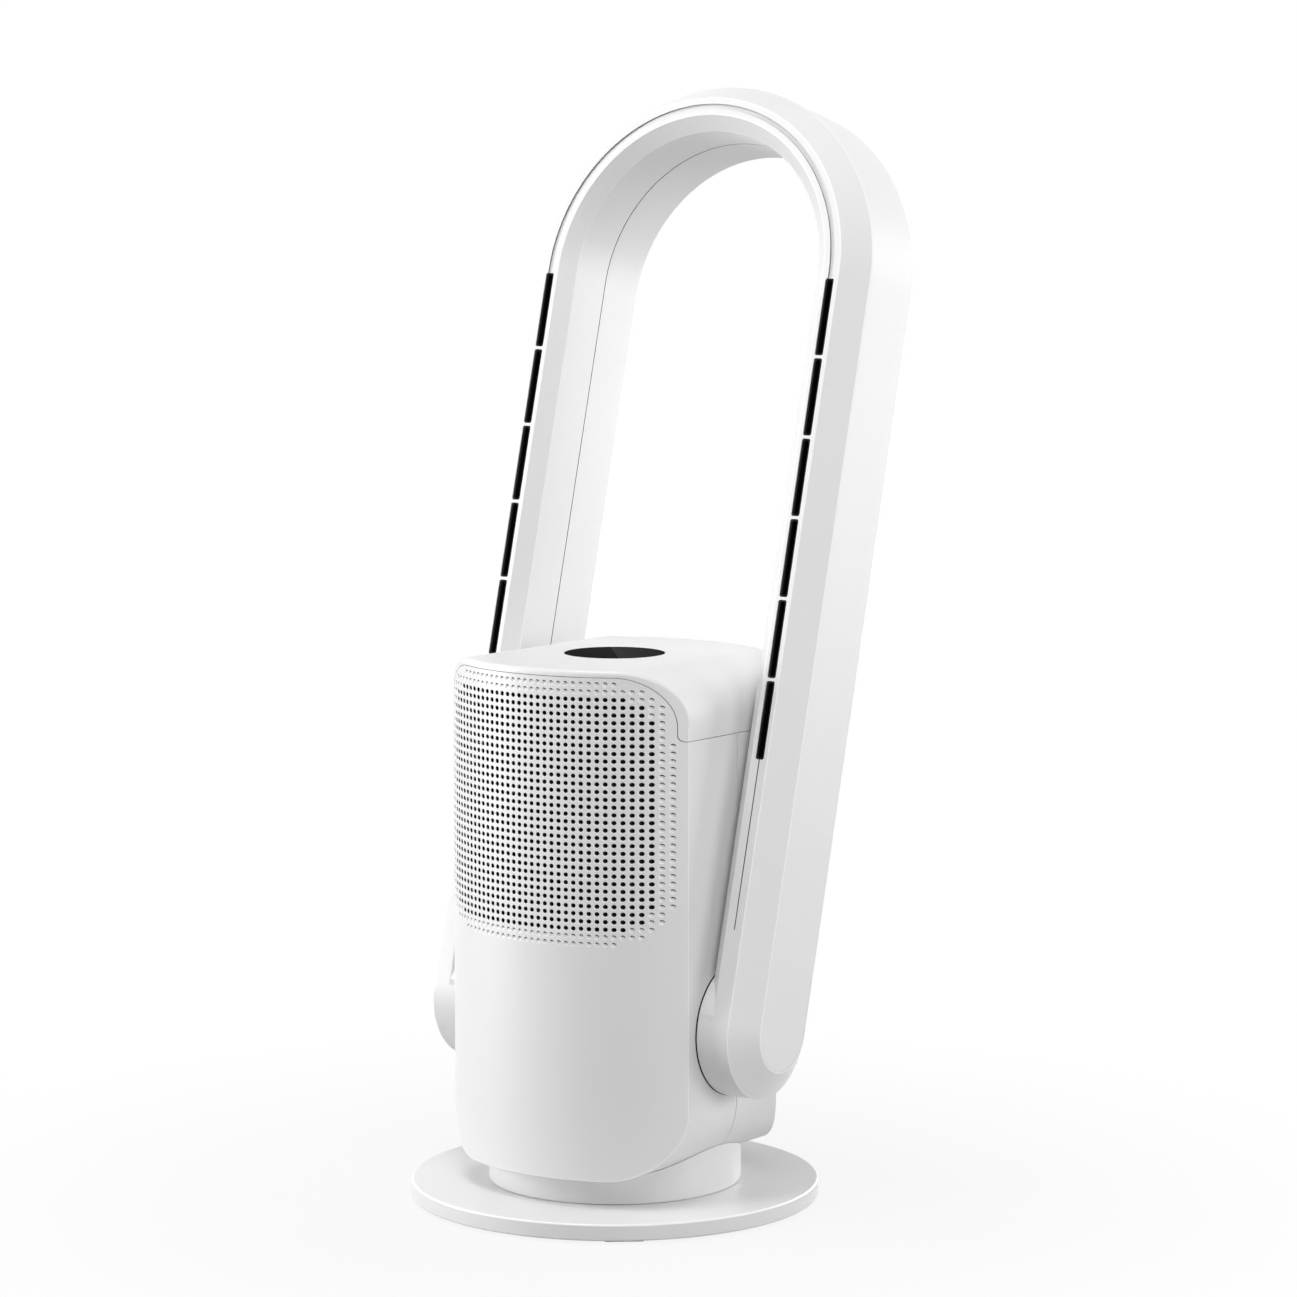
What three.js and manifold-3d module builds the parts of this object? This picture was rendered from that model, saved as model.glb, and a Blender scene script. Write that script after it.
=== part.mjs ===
// Air purifier fan: a weighted round stand, an oscillating body with a bowed grille front,
// and a tall arched air loop that tilts on two hubs at the sides of the body.
// Millimetres, +Z up. The front faces -Y. The origin is the centre of the stand's underside.

import * as THREE from 'three';
import { mergeVertices } from 'three/addons/utils/BufferGeometryUtils.js';
import Module from 'manifold-3d';

const wasm = await Module();
wasm.setup();

// General
const seatGap = 0.3;
const overrun = 4;
const shellWall = 2.5;

// Stand
const baseRadius = 137.2;
const baseHeight = 10.9;
const baseTopFillet = 2;
const baseLowerFillet = 1.2;
const plateMargin = 21.2;
const plateThickness = 4;
const postRadius = 10;
const postWall = 3.5;
const footCount = 6;
const footWidth = 26;
const footDepth = 10;
const footStand = 2;
const footPocket = 1;
const footTaper = 1;
const footEdgeInset = 7.5;
const footStartDegrees = -51;
const inletRadius = 4;
const inletWall = 1.2;
const inletLength = 16;
const inletPinRadius = 0.8;

// Turning joint: the pedestal collar and the turntable ride on a race set in the stand
const collarInset = 12;
const collarWall = 3;
const collarLedge = 5;
const turnGap = 0.5;
const raceMargin = 9;
const raceWidth = 7;
const raceHeight = 2.4;
const raceGroove = 1.2;
const tableThickness = 4;
const chamberMargin = 4;
const chamberWall = 3;
const floorOpeningMargin = 2;
const retainerWidth = 3;
const retainerHeight = 2;
const runningGap = 0.3;

// Oscillation gears: a ring with inside teeth on the stand, a pinion on the body
const gearMargin = 12.5;
const ringTeeth = 32;
const pinionTeeth = 8;
const gearFace = 8;
const gearRim = 6;
const gearShaftRadius = 3;
const gearBacklash = 0.35;
const oscMotorRadius = 15;
const oscBossWall = 1.5;
const oscMotorHeight = 18;
const oscShaftEngagement = 8;

// Body shells, which wrap the blower drum
const drumRadius = 83;
const bodySideMargin = 14;
const bodyFrontMargin = 15.4;
const bowRise = 47.34;
const bodyBottom = 30;
const bodyHeight = 336.4;
const lowerCornerRadius = 43;
const upperCornerRadius = 37;
const sideSeamY = 4.1;
const capSkirt = 46.7;
const capLip = 4.8;
const capSeamFillet = 4;

// Front grille and rear intake
const holePitch = 5;
const holeDiameter = 3;
const holeStep = 3;
const grilleTopInset = 19.1;
const grilleHeight = 152;
const grilleSideMargin = 19;
const rearSlotRows = 3;
const rearSlotLand = 6;
const rearSlotWidth = 7;

// Display on the cap
const displayRadius = 33.5;
const displayThickness = 1.2;
const displayProud = 0.2;
const displayBoardInset = 3;
const boardThickness = 1.6;

// Blower and main board
const drumWall = 2.5;
const drumFloorHeight = 29;
const drumTopMargin = 10.6;
const drumSkirtMargin = 4;
const motorRadius = 26;
const motorHeight = 30;
const motorShaftRadius = 4;
const motorShaftLength = 46;
const impellerMargin = 21;
const impellerPlate = 2.5;
const impellerHubRadius = 12;
const impellerBladeHeight = 34;
const impellerShroudWidth = 12;
const impellerBlades = 9;
const impellerBladeThickness = 2;
const impellerEyeRadius = 30;
const impellerSweepDegrees = 40;
const impellerClearance = 3;
const mainBoardWidth = 56;
const mainBoardHeight = 20;
const mainBoardInset = 20;

// Filter cartridge
const filterInset = 5;
const filterThickness = 26;
const filterTopMargin = 3.3;
const filterPleats = 36;
const filterPleatDepth = 9;
const filterEndThickness = 5;
const filterEndRim = 2;

// Air loop, in its own frame: x across, y through its depth, z up from the hub axis
const hubAxisY = 2;
const hubAxisZ = 124;
const loopTiltDegrees = 14.5;
const archCentreHeight = 498.5;
const archFlattening = 2.2;
const armGap = 2.8;
const armHalfDepth = 45;
const frontFaceWidth = 12.6;
const innerChamferWidth = 9.8;
const innerChamferDepth = 9;
const outerChamferWidth = 13;
const outerChamferDepth = 19;
const loopWall = 2.5;
const innerSeamDepth = 2;
const hubGap = 0.6;
const slotWidth = 6.6;
const slotLength = 52;
const slotLand = 1.95;
const slotDrop = 2.65;
const slotCount = 6;
const slotCorner = 1.5;
const nozzleDepth = 6;
const nozzleRecess = 0.6;
const nozzleSlit = 2.2;
const grooveWidth = 1.2;
const grooveDepth = 0.8;
const grooveFootMargin = 17;

// Pivots that carry the loop and lead the air into it
const pivotRadius = 28;
const pivotWall = 3;
const pivotFlangeMargin = 5.5;
const pivotFlangeThickness = 2.6;
const pivotReach = 24;
const socketWall = 4.6;
const socketLength = 24;

// Facet counts
const roundFacets = 36;
const smallFacets = 16;
const hubFacets = 24;
const archFacets = 20;
const cornerFacets = 5;
const filletFacets = 2;
const slotCornerFacets = 1;
const bladeStations = 3;

// Materials
const whitePlastic = { color: 0xf3f3f4, roughness: 0.42, metalness: 0 };
const blackGloss = { color: 0x0b0b0c, roughness: 0.08, metalness: 0 };
const blackPlastic = { color: 0x141415, roughness: 0.35, metalness: 0 };
const darkRubber = { color: 0x3a3b3d, roughness: 0.75, metalness: 0 };
const steel = { color: 0x8f9398, roughness: 0.4, metalness: 1 };
const greyPlastic = { color: 0xa9acb0, roughness: 0.5, metalness: 0 };
const acetal = { color: 0xdedbd0, roughness: 0.45, metalness: 0 };
const boardGreen = { color: 0x1f5b3c, roughness: 0.5, metalness: 0 };
const pleatedPaper = { color: 0xe9e7df, roughness: 0.9, metalness: 0 };

// Derived sizes of the stand and the body
const bodyHalfWidth = drumRadius + bodySideMargin;
const bodyHalfDepth = drumRadius + bodyFrontMargin;
const bowRadius = (bowRise ** 2 + bodyHalfWidth ** 2) / (2 * bowRise);
const plateRadius = baseRadius - plateMargin;
const collarRadius = bodyHalfWidth - collarInset;
const collarInner = collarRadius - collarWall;
const raceInnerRadius = collarInner - collarLedge - raceMargin - raceWidth;
const ringOuterRadius = raceInnerRadius - gearMargin;
const gearModule = (ringOuterRadius - gearRim) / (ringTeeth / 2 + 1);
const bodyTop = bodyBottom + bodyHeight;
const floorTop = bodyBottom + shellWall;
const raceBottom = baseHeight - raceGroove + seatGap;
const tableBottom = raceBottom + raceHeight + runningGap;
const gearBottom = baseHeight + seatGap;
const gearTop = gearBottom + gearFace;
const chamberTop = gearTop + runningGap;
const tableTop = chamberTop + chamberWall;
const bowCentre = bodyHalfDepth - bowRadius;
const bowEdgeY = bodyHalfDepth - bowRise;
const capSeamZ = bodyTop - capSkirt;
const degrees = Math.PI / 180;

const root = new THREE.Group();

function addMesh(parent, name, geometry, look) {
  geometry.computeVertexNormals();
  const mesh = new THREE.Mesh(geometry, new THREE.MeshStandardMaterial(look));
  mesh.name = name;
  parent.add(mesh);
  return mesh;
}

// A closed mesh as a solid for cutting and joining
function solid(geometry) {
  const bare = geometry.clone();
  bare.deleteAttribute('normal');
  bare.deleteAttribute('uv');
  const merged = mergeVertices(bare);
  const mesh = new wasm.Mesh({
    numProp: 3,
    vertProperties: new Float32Array(merged.attributes.position.array),
    triVerts: new Uint32Array(merged.index.array),
  });
  return new wasm.Manifold(mesh);
}

function geometryOf(body) {
  const mesh = body.getMesh();
  const geometry = new THREE.BufferGeometry();
  geometry.setAttribute('position', new THREE.BufferAttribute(mesh.vertProperties, 3));
  geometry.setIndex(new THREE.BufferAttribute(mesh.triVerts, 1));
  return geometry;
}

function joined(parts) {
  return parts.reduce((whole, part) => whole.add(part));
}

// Points of an arc about (cx, cy), both ends included
function arc(cx, cy, radius, startDegrees, endDegrees, facets) {
  return Array.from({ length: facets + 1 }, (unused, i) => {
    const angle = (startDegrees + ((endDegrees - startDegrees) * i) / facets) * degrees;
    return [cx + radius * Math.cos(angle), cy + radius * Math.sin(angle)];
  });
}

function shapeOf(points) {
  return new THREE.Shape(points.map(([x, y]) => new THREE.Vector2(x, y)));
}

// A plate of the given outline from z0 to z1, with optional hole outlines
function prism(points, z0, z1, holes = []) {
  const shape = shapeOf(points);
  shape.holes = holes.map((hole) => new THREE.Path(hole.map(([x, y]) => new THREE.Vector2(x, y))));
  const geometry = new THREE.ExtrudeGeometry(shape, { depth: z1 - z0, bevelEnabled: false });
  geometry.translate(0, 0, z0);
  return geometry;
}

// The outline lies in X and Z, and the prism runs from y0 to y1
function prismAlongY(points, y0, y1) {
  const geometry = prism(points, -y1, -y0);
  geometry.rotateX(Math.PI / 2);
  return geometry;
}

// The outline lies in Y and Z, and the prism runs from x0 to x1
function prismAlongX(points, x0, x1) {
  const geometry = prism(points, x0, x1);
  geometry.rotateX(Math.PI / 2);
  geometry.rotateZ(Math.PI / 2);
  return geometry;
}

// A turned piece about Z from a profile of [radius, height]
function turned(profile, facets) {
  const points = profile.map(([r, z]) => new THREE.Vector2(r, z));
  const geometry = new THREE.LatheGeometry(points, facets);
  geometry.rotateX(Math.PI / 2);
  return geometry;
}

function closedTurned(profile, facets) {
  return turned([...profile, profile[0]], facets);
}

// A turned piece about X, heights running towards the given side (+1 or -1)
function turnedAlongX(profile, side, facets) {
  const points = profile.map(([r, x]) => new THREE.Vector2(r, x));
  const geometry = new THREE.LatheGeometry(points, facets);
  geometry.rotateZ((-side * Math.PI) / 2);
  return geometry;
}

function circle(cx, cy, radius, facets) {
  return arc(cx, cy, radius, 0, 360, facets).slice(0, facets);
}

function box(x0, x1, y0, y1, z0, z1) {
  const geometry = new THREE.BoxGeometry(x1 - x0, y1 - y0, z1 - z0);
  geometry.translate((x0 + x1) / 2, (y0 + y1) / 2, (z0 + z1) / 2);
  return geometry;
}

// The outline moved inwards by a distance, for outlines that run counterclockwise
function inset(points, distance) {
  return points.map((point, i) => {
    const before = points[(i + points.length - 1) % points.length];
    const after = points[(i + 1) % points.length];
    const a = new THREE.Vector2(point[0] - before[0], point[1] - before[1]).normalize();
    const b = new THREE.Vector2(after[0] - point[0], after[1] - point[1]).normalize();
    const reach = distance / (1 + a.dot(b));
    return [point[0] - (a.y + b.y) * reach, point[1] + (a.x + b.x) * reach];
  });
}

// Rounded rectangle with its own radius for the lower and the upper corners
function roundedOutline(halfWidth, z0, z1, lowerRadius, upperRadius, facets) {
  return [
    ...arc(halfWidth - lowerRadius, z0 + lowerRadius, lowerRadius, -90, 0, facets),
    ...arc(halfWidth - upperRadius, z1 - upperRadius, upperRadius, 0, 90, facets),
    ...arc(upperRadius - halfWidth, z1 - upperRadius, upperRadius, 90, 180, facets),
    ...arc(lowerRadius - halfWidth, z0 + lowerRadius, lowerRadius, 180, 270, facets),
  ];
}

// Stand: base shell, steel plate, feet and power inlet
const stand = new THREE.Group();
root.add(stand);

const retainerBottom = tableTop + runningGap;
const retainerTop = retainerBottom + retainerHeight;
const postTop = retainerTop + seatGap;
const baseUnderTop = baseHeight - shellWall;
const baseProfile = [
  [plateRadius + seatGap, 0],
  ...arc(baseRadius - baseLowerFillet, baseLowerFillet, baseLowerFillet, -90, 0, filletFacets),
  ...arc(baseRadius - baseTopFillet, baseHeight - baseTopFillet, baseTopFillet, 0, 90, filletFacets),
  [raceInnerRadius + raceWidth + seatGap, baseHeight],
  [raceInnerRadius + raceWidth + seatGap, baseHeight - raceGroove],
  [raceInnerRadius - seatGap, baseHeight - raceGroove],
  [raceInnerRadius - seatGap, baseHeight],
  [postRadius, baseHeight],
  [postRadius, postTop],
  [postRadius - postWall, postTop],
  [postRadius - postWall, baseUnderTop],
  [baseRadius - shellWall, baseUnderTop],
  [baseRadius - shellWall, shellWall],
  [plateRadius + seatGap, shellWall],
];
const footRadius = baseRadius - footEdgeInset - footDepth / 2;
const pocketWidth = footWidth / 2 + seatGap;
const pocketDepth = footDepth / 2 + seatGap;
const inletZ = baseHeight / 2;
const inletFace = baseRadius - shellWall / 2;

function footPlace(geometry, index) {
  geometry.rotateZ((footStartDegrees + (360 * index) / footCount) * degrees);
  return geometry;
}

const pockets = Array.from({ length: footCount }, (unused, i) => solid(footPlace(
  box(footRadius - pocketDepth, footRadius + pocketDepth, -pocketWidth, pocketWidth, -overrun, footPocket),
  i,
)));
const inletHole = prismAlongY(
  circle(0, inletZ, inletRadius + seatGap, smallFacets),
  inletFace - inletLength - seatGap,
  baseRadius + overrun,
);
const baseShell = solid(closedTurned(baseProfile, roundFacets))
  .subtract(joined(pockets))
  .subtract(solid(inletHole));
addMesh(stand, 'base_shell', geometryOf(baseShell), whitePlastic);

addMesh(stand, 'weight_plate', turned([
  [0, 0],
  [plateRadius, 0],
  [plateRadius, plateThickness],
  [0, plateThickness],
], roundFacets), steel);

for (let i = 0; i < footCount; i += 1) {
  const bevelled = [
    [-footWidth / 2 + footTaper, -footStand],
    [footWidth / 2 - footTaper, -footStand],
    [footWidth / 2, -footStand + footTaper],
    [footWidth / 2, footPocket - seatGap],
    [-footWidth / 2, footPocket - seatGap],
    [-footWidth / 2, -footStand + footTaper],
  ];
  const pad = prismAlongX(bevelled, footRadius - footDepth / 2, footRadius + footDepth / 2);
  addMesh(stand, `foot_${i + 1}`, footPlace(pad, i), darkRubber);
}

const inletBoreRadius = inletRadius - inletWall;
const inletProfile = [
  [0, 0],
  [inletRadius, 0],
  [inletRadius, inletLength],
  [inletBoreRadius, inletLength],
  [inletBoreRadius, shellWall],
  [inletPinRadius, shellWall],
  [inletPinRadius, inletLength - shellWall],
  [0, inletLength - shellWall],
];
const inlet = new THREE.LatheGeometry(inletProfile.map(([r, y]) => new THREE.Vector2(r, y)), smallFacets);
inlet.translate(0, inletFace - inletLength, inletZ);
addMesh(stand, 'power_inlet', inlet, blackPlastic);

// Stand: race ring, retainer and gear ring
addMesh(stand, 'race_ring', closedTurned([
  [raceInnerRadius, raceBottom],
  [raceInnerRadius + raceWidth, raceBottom],
  [raceInnerRadius + raceWidth, raceBottom + raceHeight],
  [raceInnerRadius, raceBottom + raceHeight],
], roundFacets), acetal);

addMesh(stand, 'retaining_ring', closedTurned([
  [postRadius + seatGap, retainerBottom],
  [postRadius + retainerWidth, retainerBottom],
  [postRadius + retainerWidth, retainerTop],
  [postRadius + seatGap, retainerTop],
], smallFacets), steel);

// Straight-sided teeth: a tooth is as wide as its space on the pitch circle, less the backlash
const ringPitchRadius = (gearModule * ringTeeth) / 2;
const pinionPitchRadius = (gearModule * pinionTeeth) / 2;
const toothShares = [-0.36, -0.14, 0.14, 0.36];

function toothOutline(count, pitchRadius, tipRadius, footCircle, thinning, phase) {
  const outline = [];
  for (let i = 0; i < count; i += 1) {
    toothShares.forEach((share, k) => {
      const radius = k === 0 || k === 3 ? footCircle : tipRadius;
      const angle = (2 * Math.PI * (i + share)) / count + phase;
      const trim = (Math.sign(share) * thinning) / pitchRadius;
      outline.push([radius * Math.cos(angle - trim), radius * Math.sin(angle - trim)]);
    });
  }
  return outline;
}

const toothReach = 0.8 * gearModule;
const ringInside = toothOutline(
  ringTeeth,
  ringPitchRadius,
  ringPitchRadius - toothReach,
  ringPitchRadius + gearModule,
  gearBacklash / 2,
  Math.PI / ringTeeth,
);
const ringOutside = circle(0, 0, ringOuterRadius, roundFacets);
addMesh(stand, 'gear_ring', prism(ringOutside, gearBottom, gearTop, [ringInside]), acetal);

// Body: shells of one hollow form, parted by the side seam and the cap seam
const body = new THREE.Group();
root.add(body);

const facetWidth = holePitch * holeStep;
const grilleColumns = 2 * Math.floor((bodyHalfWidth - grilleSideMargin) / facetWidth) + 1;
const grilleRows = Math.floor(grilleHeight / facetWidth) + 1;

function bowPoints() {
  const edges = [];
  for (let x = facetWidth / 2; x < bodyHalfWidth - facetWidth / 4; x += facetWidth) {
    edges.push(x);
  }
  edges.push(bodyHalfWidth);
  const across = [...edges.map((x) => -x).reverse(), ...edges];
  return across.map((x) => [x, -bowCentre - Math.sqrt(bowRadius ** 2 - x ** 2)]);
}

const frontBow = bowPoints();
const plan = [...frontBow, ...frontBow.map(([x, y]) => [-x, -y])];
const elevation = roundedOutline(
  bodyHalfWidth,
  bodyBottom,
  bodyTop,
  lowerCornerRadius,
  upperCornerRadius,
  cornerFacets,
);

function bodyForm(depth) {
  const reach = bodyHalfDepth + overrun;
  return solid(prism(inset(plan, depth), bodyBottom - overrun, bodyTop + overrun))
    .intersect(solid(prismAlongY(inset(elevation, depth), -reach, reach)));
}

const shells = bodyForm(0).subtract(bodyForm(shellWall));

// The front panel rises between the cap's lips as a tongue
const tongueHalf = bodyHalfWidth - capLip;
const tongueTop = bodyTop - capLip;
const tongueCorner = upperCornerRadius - capLip;

const seamFillet = Math.min(capSeamFillet, (capSkirt - upperCornerRadius) / 2);

function tongueOutline(growth) {
  const half = tongueHalf + growth;
  const foot = capSeamZ + growth;
  const right = [
    ...arc(half + seamFillet, foot + seamFillet, seamFillet, 270, 180, filletFacets),
    ...arc(tongueHalf - tongueCorner, tongueTop - tongueCorner, tongueCorner + growth, 0, 90, cornerFacets),
  ];
  const left = right.map(([x, z]) => [-x, z]).reverse();
  const floor = bodyBottom - overrun;
  const side = bodyHalfWidth + seamFillet + overrun;
  return [[side, floor], [side, foot], ...right, ...left, [-side, foot], [-side, floor]];
}

const farY = bodyHalfDepth + overrun;
const wide = bodyHalfWidth + overrun;
const lowSlab = (growth, y0, y1) => solid(box(-wide, wide, y0, y1, bodyBottom - overrun, capSeamZ + growth));
const panelZone = (growth, side) => {
  const near = bowEdgeY;
  const outline = tongueOutline(growth);
  const span = side < 0 ? [-farY, -near] : [near, farY];
  return solid(prismAlongY(outline, span[0], span[1]));
};
const halfGap = seatGap / 2;
const pinionDistance = ringPitchRadius - pinionPitchRadius;
const floorOpeningRadius = pinionDistance + oscMotorRadius + floorOpeningMargin;
const floorOpening = solid(prism(
  circle(0, 0, floorOpeningRadius, roundFacets),
  bodyBottom - overrun,
  floorTop + overrun,
));
const socketRadius = pivotRadius + runningGap + socketWall;
const sideHoles = solid(prismAlongX(
  circle(hubAxisY, hubAxisZ, socketRadius, hubFacets),
  -bodyHalfWidth - overrun,
  bodyHalfWidth + overrun,
));

// Front grille: a field of openings with its corners left off
const holeSide = Math.sqrt(Math.PI / 4) * holeDiameter * holeStep;
const grilleTop = bodyTop - grilleTopInset;
const cornerCutShares = [0.2, 0];
const holes = [];
for (let row = 0; row < grilleRows; row += 1) {
  const fromEnd = Math.min(row, grilleRows - 1 - row);
  const cut = Math.round((cornerCutShares[fromEnd] ?? 0) * (grilleColumns / 2));
  for (let column = cut; column < grilleColumns - cut; column += 1) {
    const x = (column - (grilleColumns - 1) / 2) * facetWidth;
    const z = grilleTop - row * facetWidth;
    holes.push(solid(box(
      x - holeSide / 2,
      x + holeSide / 2,
      -farY,
      -bowEdgeY + shellWall,
      z - holeSide / 2,
      z + holeSide / 2,
    )));
  }
}

const frontShell = shells
  .intersect(lowSlab(-halfGap, -farY, sideSeamY - halfGap).add(panelZone(-halfGap, -1)))
  .subtract(floorOpening)
  .subtract(sideHoles)
  .subtract(joined(holes));
addMesh(body, 'front_shell', geometryOf(frontShell), whitePlastic);

const cap = shells
  .subtract(lowSlab(halfGap, -farY, farY))
  .subtract(panelZone(halfGap, -1))
  .subtract(panelZone(halfGap, 1));
const displayPocket = solid(prism(
  circle(0, 0, displayRadius + seatGap, roundFacets),
  bodyTop - displayThickness,
  bodyTop + overrun,
));
addMesh(body, 'top_cap', geometryOf(cap.subtract(displayPocket)), whitePlastic);

const lensBottom = bodyTop - displayThickness + seatGap;
addMesh(body, 'display_lens', turned([
  [0, lensBottom],
  [displayRadius, lensBottom],
  [displayRadius, bodyTop],
  [displayRadius - displayProud, bodyTop + displayProud],
  [0, bodyTop + displayProud],
], roundFacets), blackGloss);

const displayBoardTop = bodyTop - shellWall - seatGap;
addMesh(body, 'display_board', turned([
  [0, displayBoardTop - boardThickness],
  [displayRadius - displayBoardInset, displayBoardTop - boardThickness],
  [displayRadius - displayBoardInset, displayBoardTop],
  [0, displayBoardTop],
], smallFacets), boardGreen);

// Body: pedestal collar, its top fitted to the rounded underside, and the turntable inside it
const collarBottom = baseHeight + turnGap;
const collarLedgeTop = tableBottom - seatGap;
const collar = solid(closedTurned([
  [collarInner - collarLedge, collarBottom],
  [collarRadius, collarBottom],
  [collarRadius, bodyBottom + lowerCornerRadius],
  [collarInner, bodyBottom + lowerCornerRadius],
  [collarInner, collarLedgeTop],
  [collarInner - collarLedge, collarLedgeTop],
], roundFacets)).subtract(bodyForm(-seatGap));
addMesh(body, 'pedestal_collar', geometryOf(collar), whitePlastic);

const chamberRadius = ringOuterRadius + chamberMargin;
const turntable = solid(closedTurned([
  [chamberRadius, tableBottom],
  [collarInner - seatGap, tableBottom],
  [collarInner - seatGap, tableBottom + tableThickness],
  [chamberRadius + chamberWall, tableBottom + tableThickness],
  [chamberRadius + chamberWall, tableTop],
  [postRadius + runningGap, tableTop],
  [postRadius + runningGap, chamberTop],
  [chamberRadius, chamberTop],
], roundFacets)).subtract(solid(prism(
  circle(pinionDistance, 0, gearShaftRadius + runningGap, smallFacets),
  tableBottom - overrun,
  tableTop + overrun,
)));
addMesh(body, 'turntable', geometryOf(turntable), greyPlastic);

const oscBossBottom = tableTop + seatGap;
const oscMotorBottom = postTop + seatGap;
const oscBore = gearShaftRadius + runningGap;
const oscMotor = turned([
  [0, oscMotorBottom + oscShaftEngagement + runningGap],
  [oscBore, oscMotorBottom + oscShaftEngagement + runningGap],
  [oscBore, oscBossBottom],
  [oscBore + oscBossWall, oscBossBottom],
  [oscBore + oscBossWall, oscMotorBottom],
  [oscMotorRadius, oscMotorBottom],
  [oscMotorRadius, oscMotorBottom + oscMotorHeight],
  [0, oscMotorBottom + oscMotorHeight],
], smallFacets);
oscMotor.translate(pinionDistance, 0, 0);
addMesh(body, 'oscillation_motor', oscMotor, steel);

const pinionGroup = new THREE.Group();
pinionGroup.position.set(pinionDistance, 0, 0);
body.add(pinionGroup);
const pinionOutline = toothOutline(
  pinionTeeth,
  pinionPitchRadius,
  pinionPitchRadius + toothReach,
  pinionPitchRadius - gearModule,
  gearBacklash / 2,
  0,
);
const pinionShaft = prism(
  circle(0, 0, gearShaftRadius, smallFacets),
  gearBottom + runningGap,
  oscMotorBottom + oscShaftEngagement,
);
const pinion = solid(prism(pinionOutline, gearBottom + runningGap, gearTop)).add(solid(pinionShaft));
addMesh(pinionGroup, 'pinion', geometryOf(pinion), acetal);

// Body: blower drum, motor, impeller and main board
const drumBottom = floorTop + drumFloorHeight;
const drumTop = hubAxisZ + socketRadius + drumTopMargin;
const drumSkirtRadius = floorOpeningRadius + drumSkirtMargin;
const skirtBottom = floorTop + seatGap;
const filterRadius = drumRadius - filterInset;
const filterInnerRadius = filterRadius - filterThickness;
const drumInletRadius = filterInnerRadius - filterEndRim;
const drum = solid(turned([
  [0, drumBottom],
  [drumSkirtRadius - drumWall, drumBottom],
  [drumSkirtRadius - drumWall, skirtBottom],
  [drumSkirtRadius, skirtBottom],
  [drumSkirtRadius, drumBottom],
  [drumRadius, drumBottom],
  [drumRadius, drumTop],
  [drumInletRadius, drumTop],
  [drumInletRadius, drumTop - drumWall],
  [drumRadius - drumWall, drumTop - drumWall],
  [drumRadius - drumWall, drumBottom + drumWall],
  [0, drumBottom + drumWall],
], hubFacets)).subtract(solid(prismAlongX(
  circle(hubAxisY, hubAxisZ, socketRadius + seatGap, hubFacets),
  -drumRadius - overrun,
  drumRadius + overrun,
))).intersect(bodyForm(shellWall + seatGap));
addMesh(body, 'blower_drum', geometryOf(drum), greyPlastic);

const motorBottom = drumBottom + drumWall + seatGap;
const motorTop = motorBottom + motorHeight;
const motorShaftTop = motorTop + motorShaftLength;
addMesh(body, 'blower_motor', turned([
  [0, motorBottom],
  [motorRadius, motorBottom],
  [motorRadius, motorTop],
  [motorShaftRadius, motorTop],
  [motorShaftRadius, motorShaftTop],
  [0, motorShaftTop],
], smallFacets), steel);

const impellerRadius = drumRadius - impellerMargin;
const plateBottom = motorTop + impellerClearance;
const bladeBottom = plateBottom + impellerPlate;
const bladeTop = bladeBottom + impellerBladeHeight;
const impellerBore = motorShaftRadius + runningGap;
const impellerPlateSolid = solid(closedTurned([
  [impellerBore, plateBottom],
  [impellerRadius, plateBottom],
  [impellerRadius, bladeBottom],
  [impellerHubRadius, bladeBottom],
  [impellerHubRadius, bladeTop],
  [impellerBore, bladeTop],
], hubFacets));
const shroudSolid = solid(closedTurned([
  [impellerRadius - impellerShroudWidth, bladeTop - impellerPlate],
  [impellerRadius, bladeTop - impellerPlate],
  [impellerRadius, bladeTop],
  [impellerRadius - impellerShroudWidth, bladeTop],
], hubFacets));
const bladeSteps = Array.from({ length: bladeStations }, (unused, i) => i / (bladeStations - 1));

function bladeOutline() {
  const edge = (offset) => bladeSteps.map((t) => {
    const radius = impellerEyeRadius + (impellerRadius - impellerEyeRadius) * t;
    const angle = -impellerSweepDegrees * degrees * t * t;
    const turn = offset / radius;
    return [radius * Math.cos(angle + turn), radius * Math.sin(angle + turn)];
  });
  return [...edge(-impellerBladeThickness / 2), ...edge(impellerBladeThickness / 2).reverse()];
}

const blades = Array.from({ length: impellerBlades }, (unused, i) => {
  const blade = prism(bladeOutline(), bladeBottom - impellerPlate / 2, bladeTop - impellerPlate / 2);
  blade.rotateZ((2 * Math.PI * i) / impellerBlades);
  return solid(blade);
});
const impeller = joined([impellerPlateSolid, shroudSolid, ...blades]);
addMesh(body, 'impeller', geometryOf(impeller), blackPlastic);

const mainBoardY = mainBoardInset - bodyHalfDepth;
addMesh(body, 'main_board', box(
  -mainBoardWidth / 2,
  mainBoardWidth / 2,
  mainBoardY - boardThickness,
  mainBoardY,
  floorTop + seatGap,
  floorTop + seatGap + mainBoardHeight,
), boardGreen);

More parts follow.
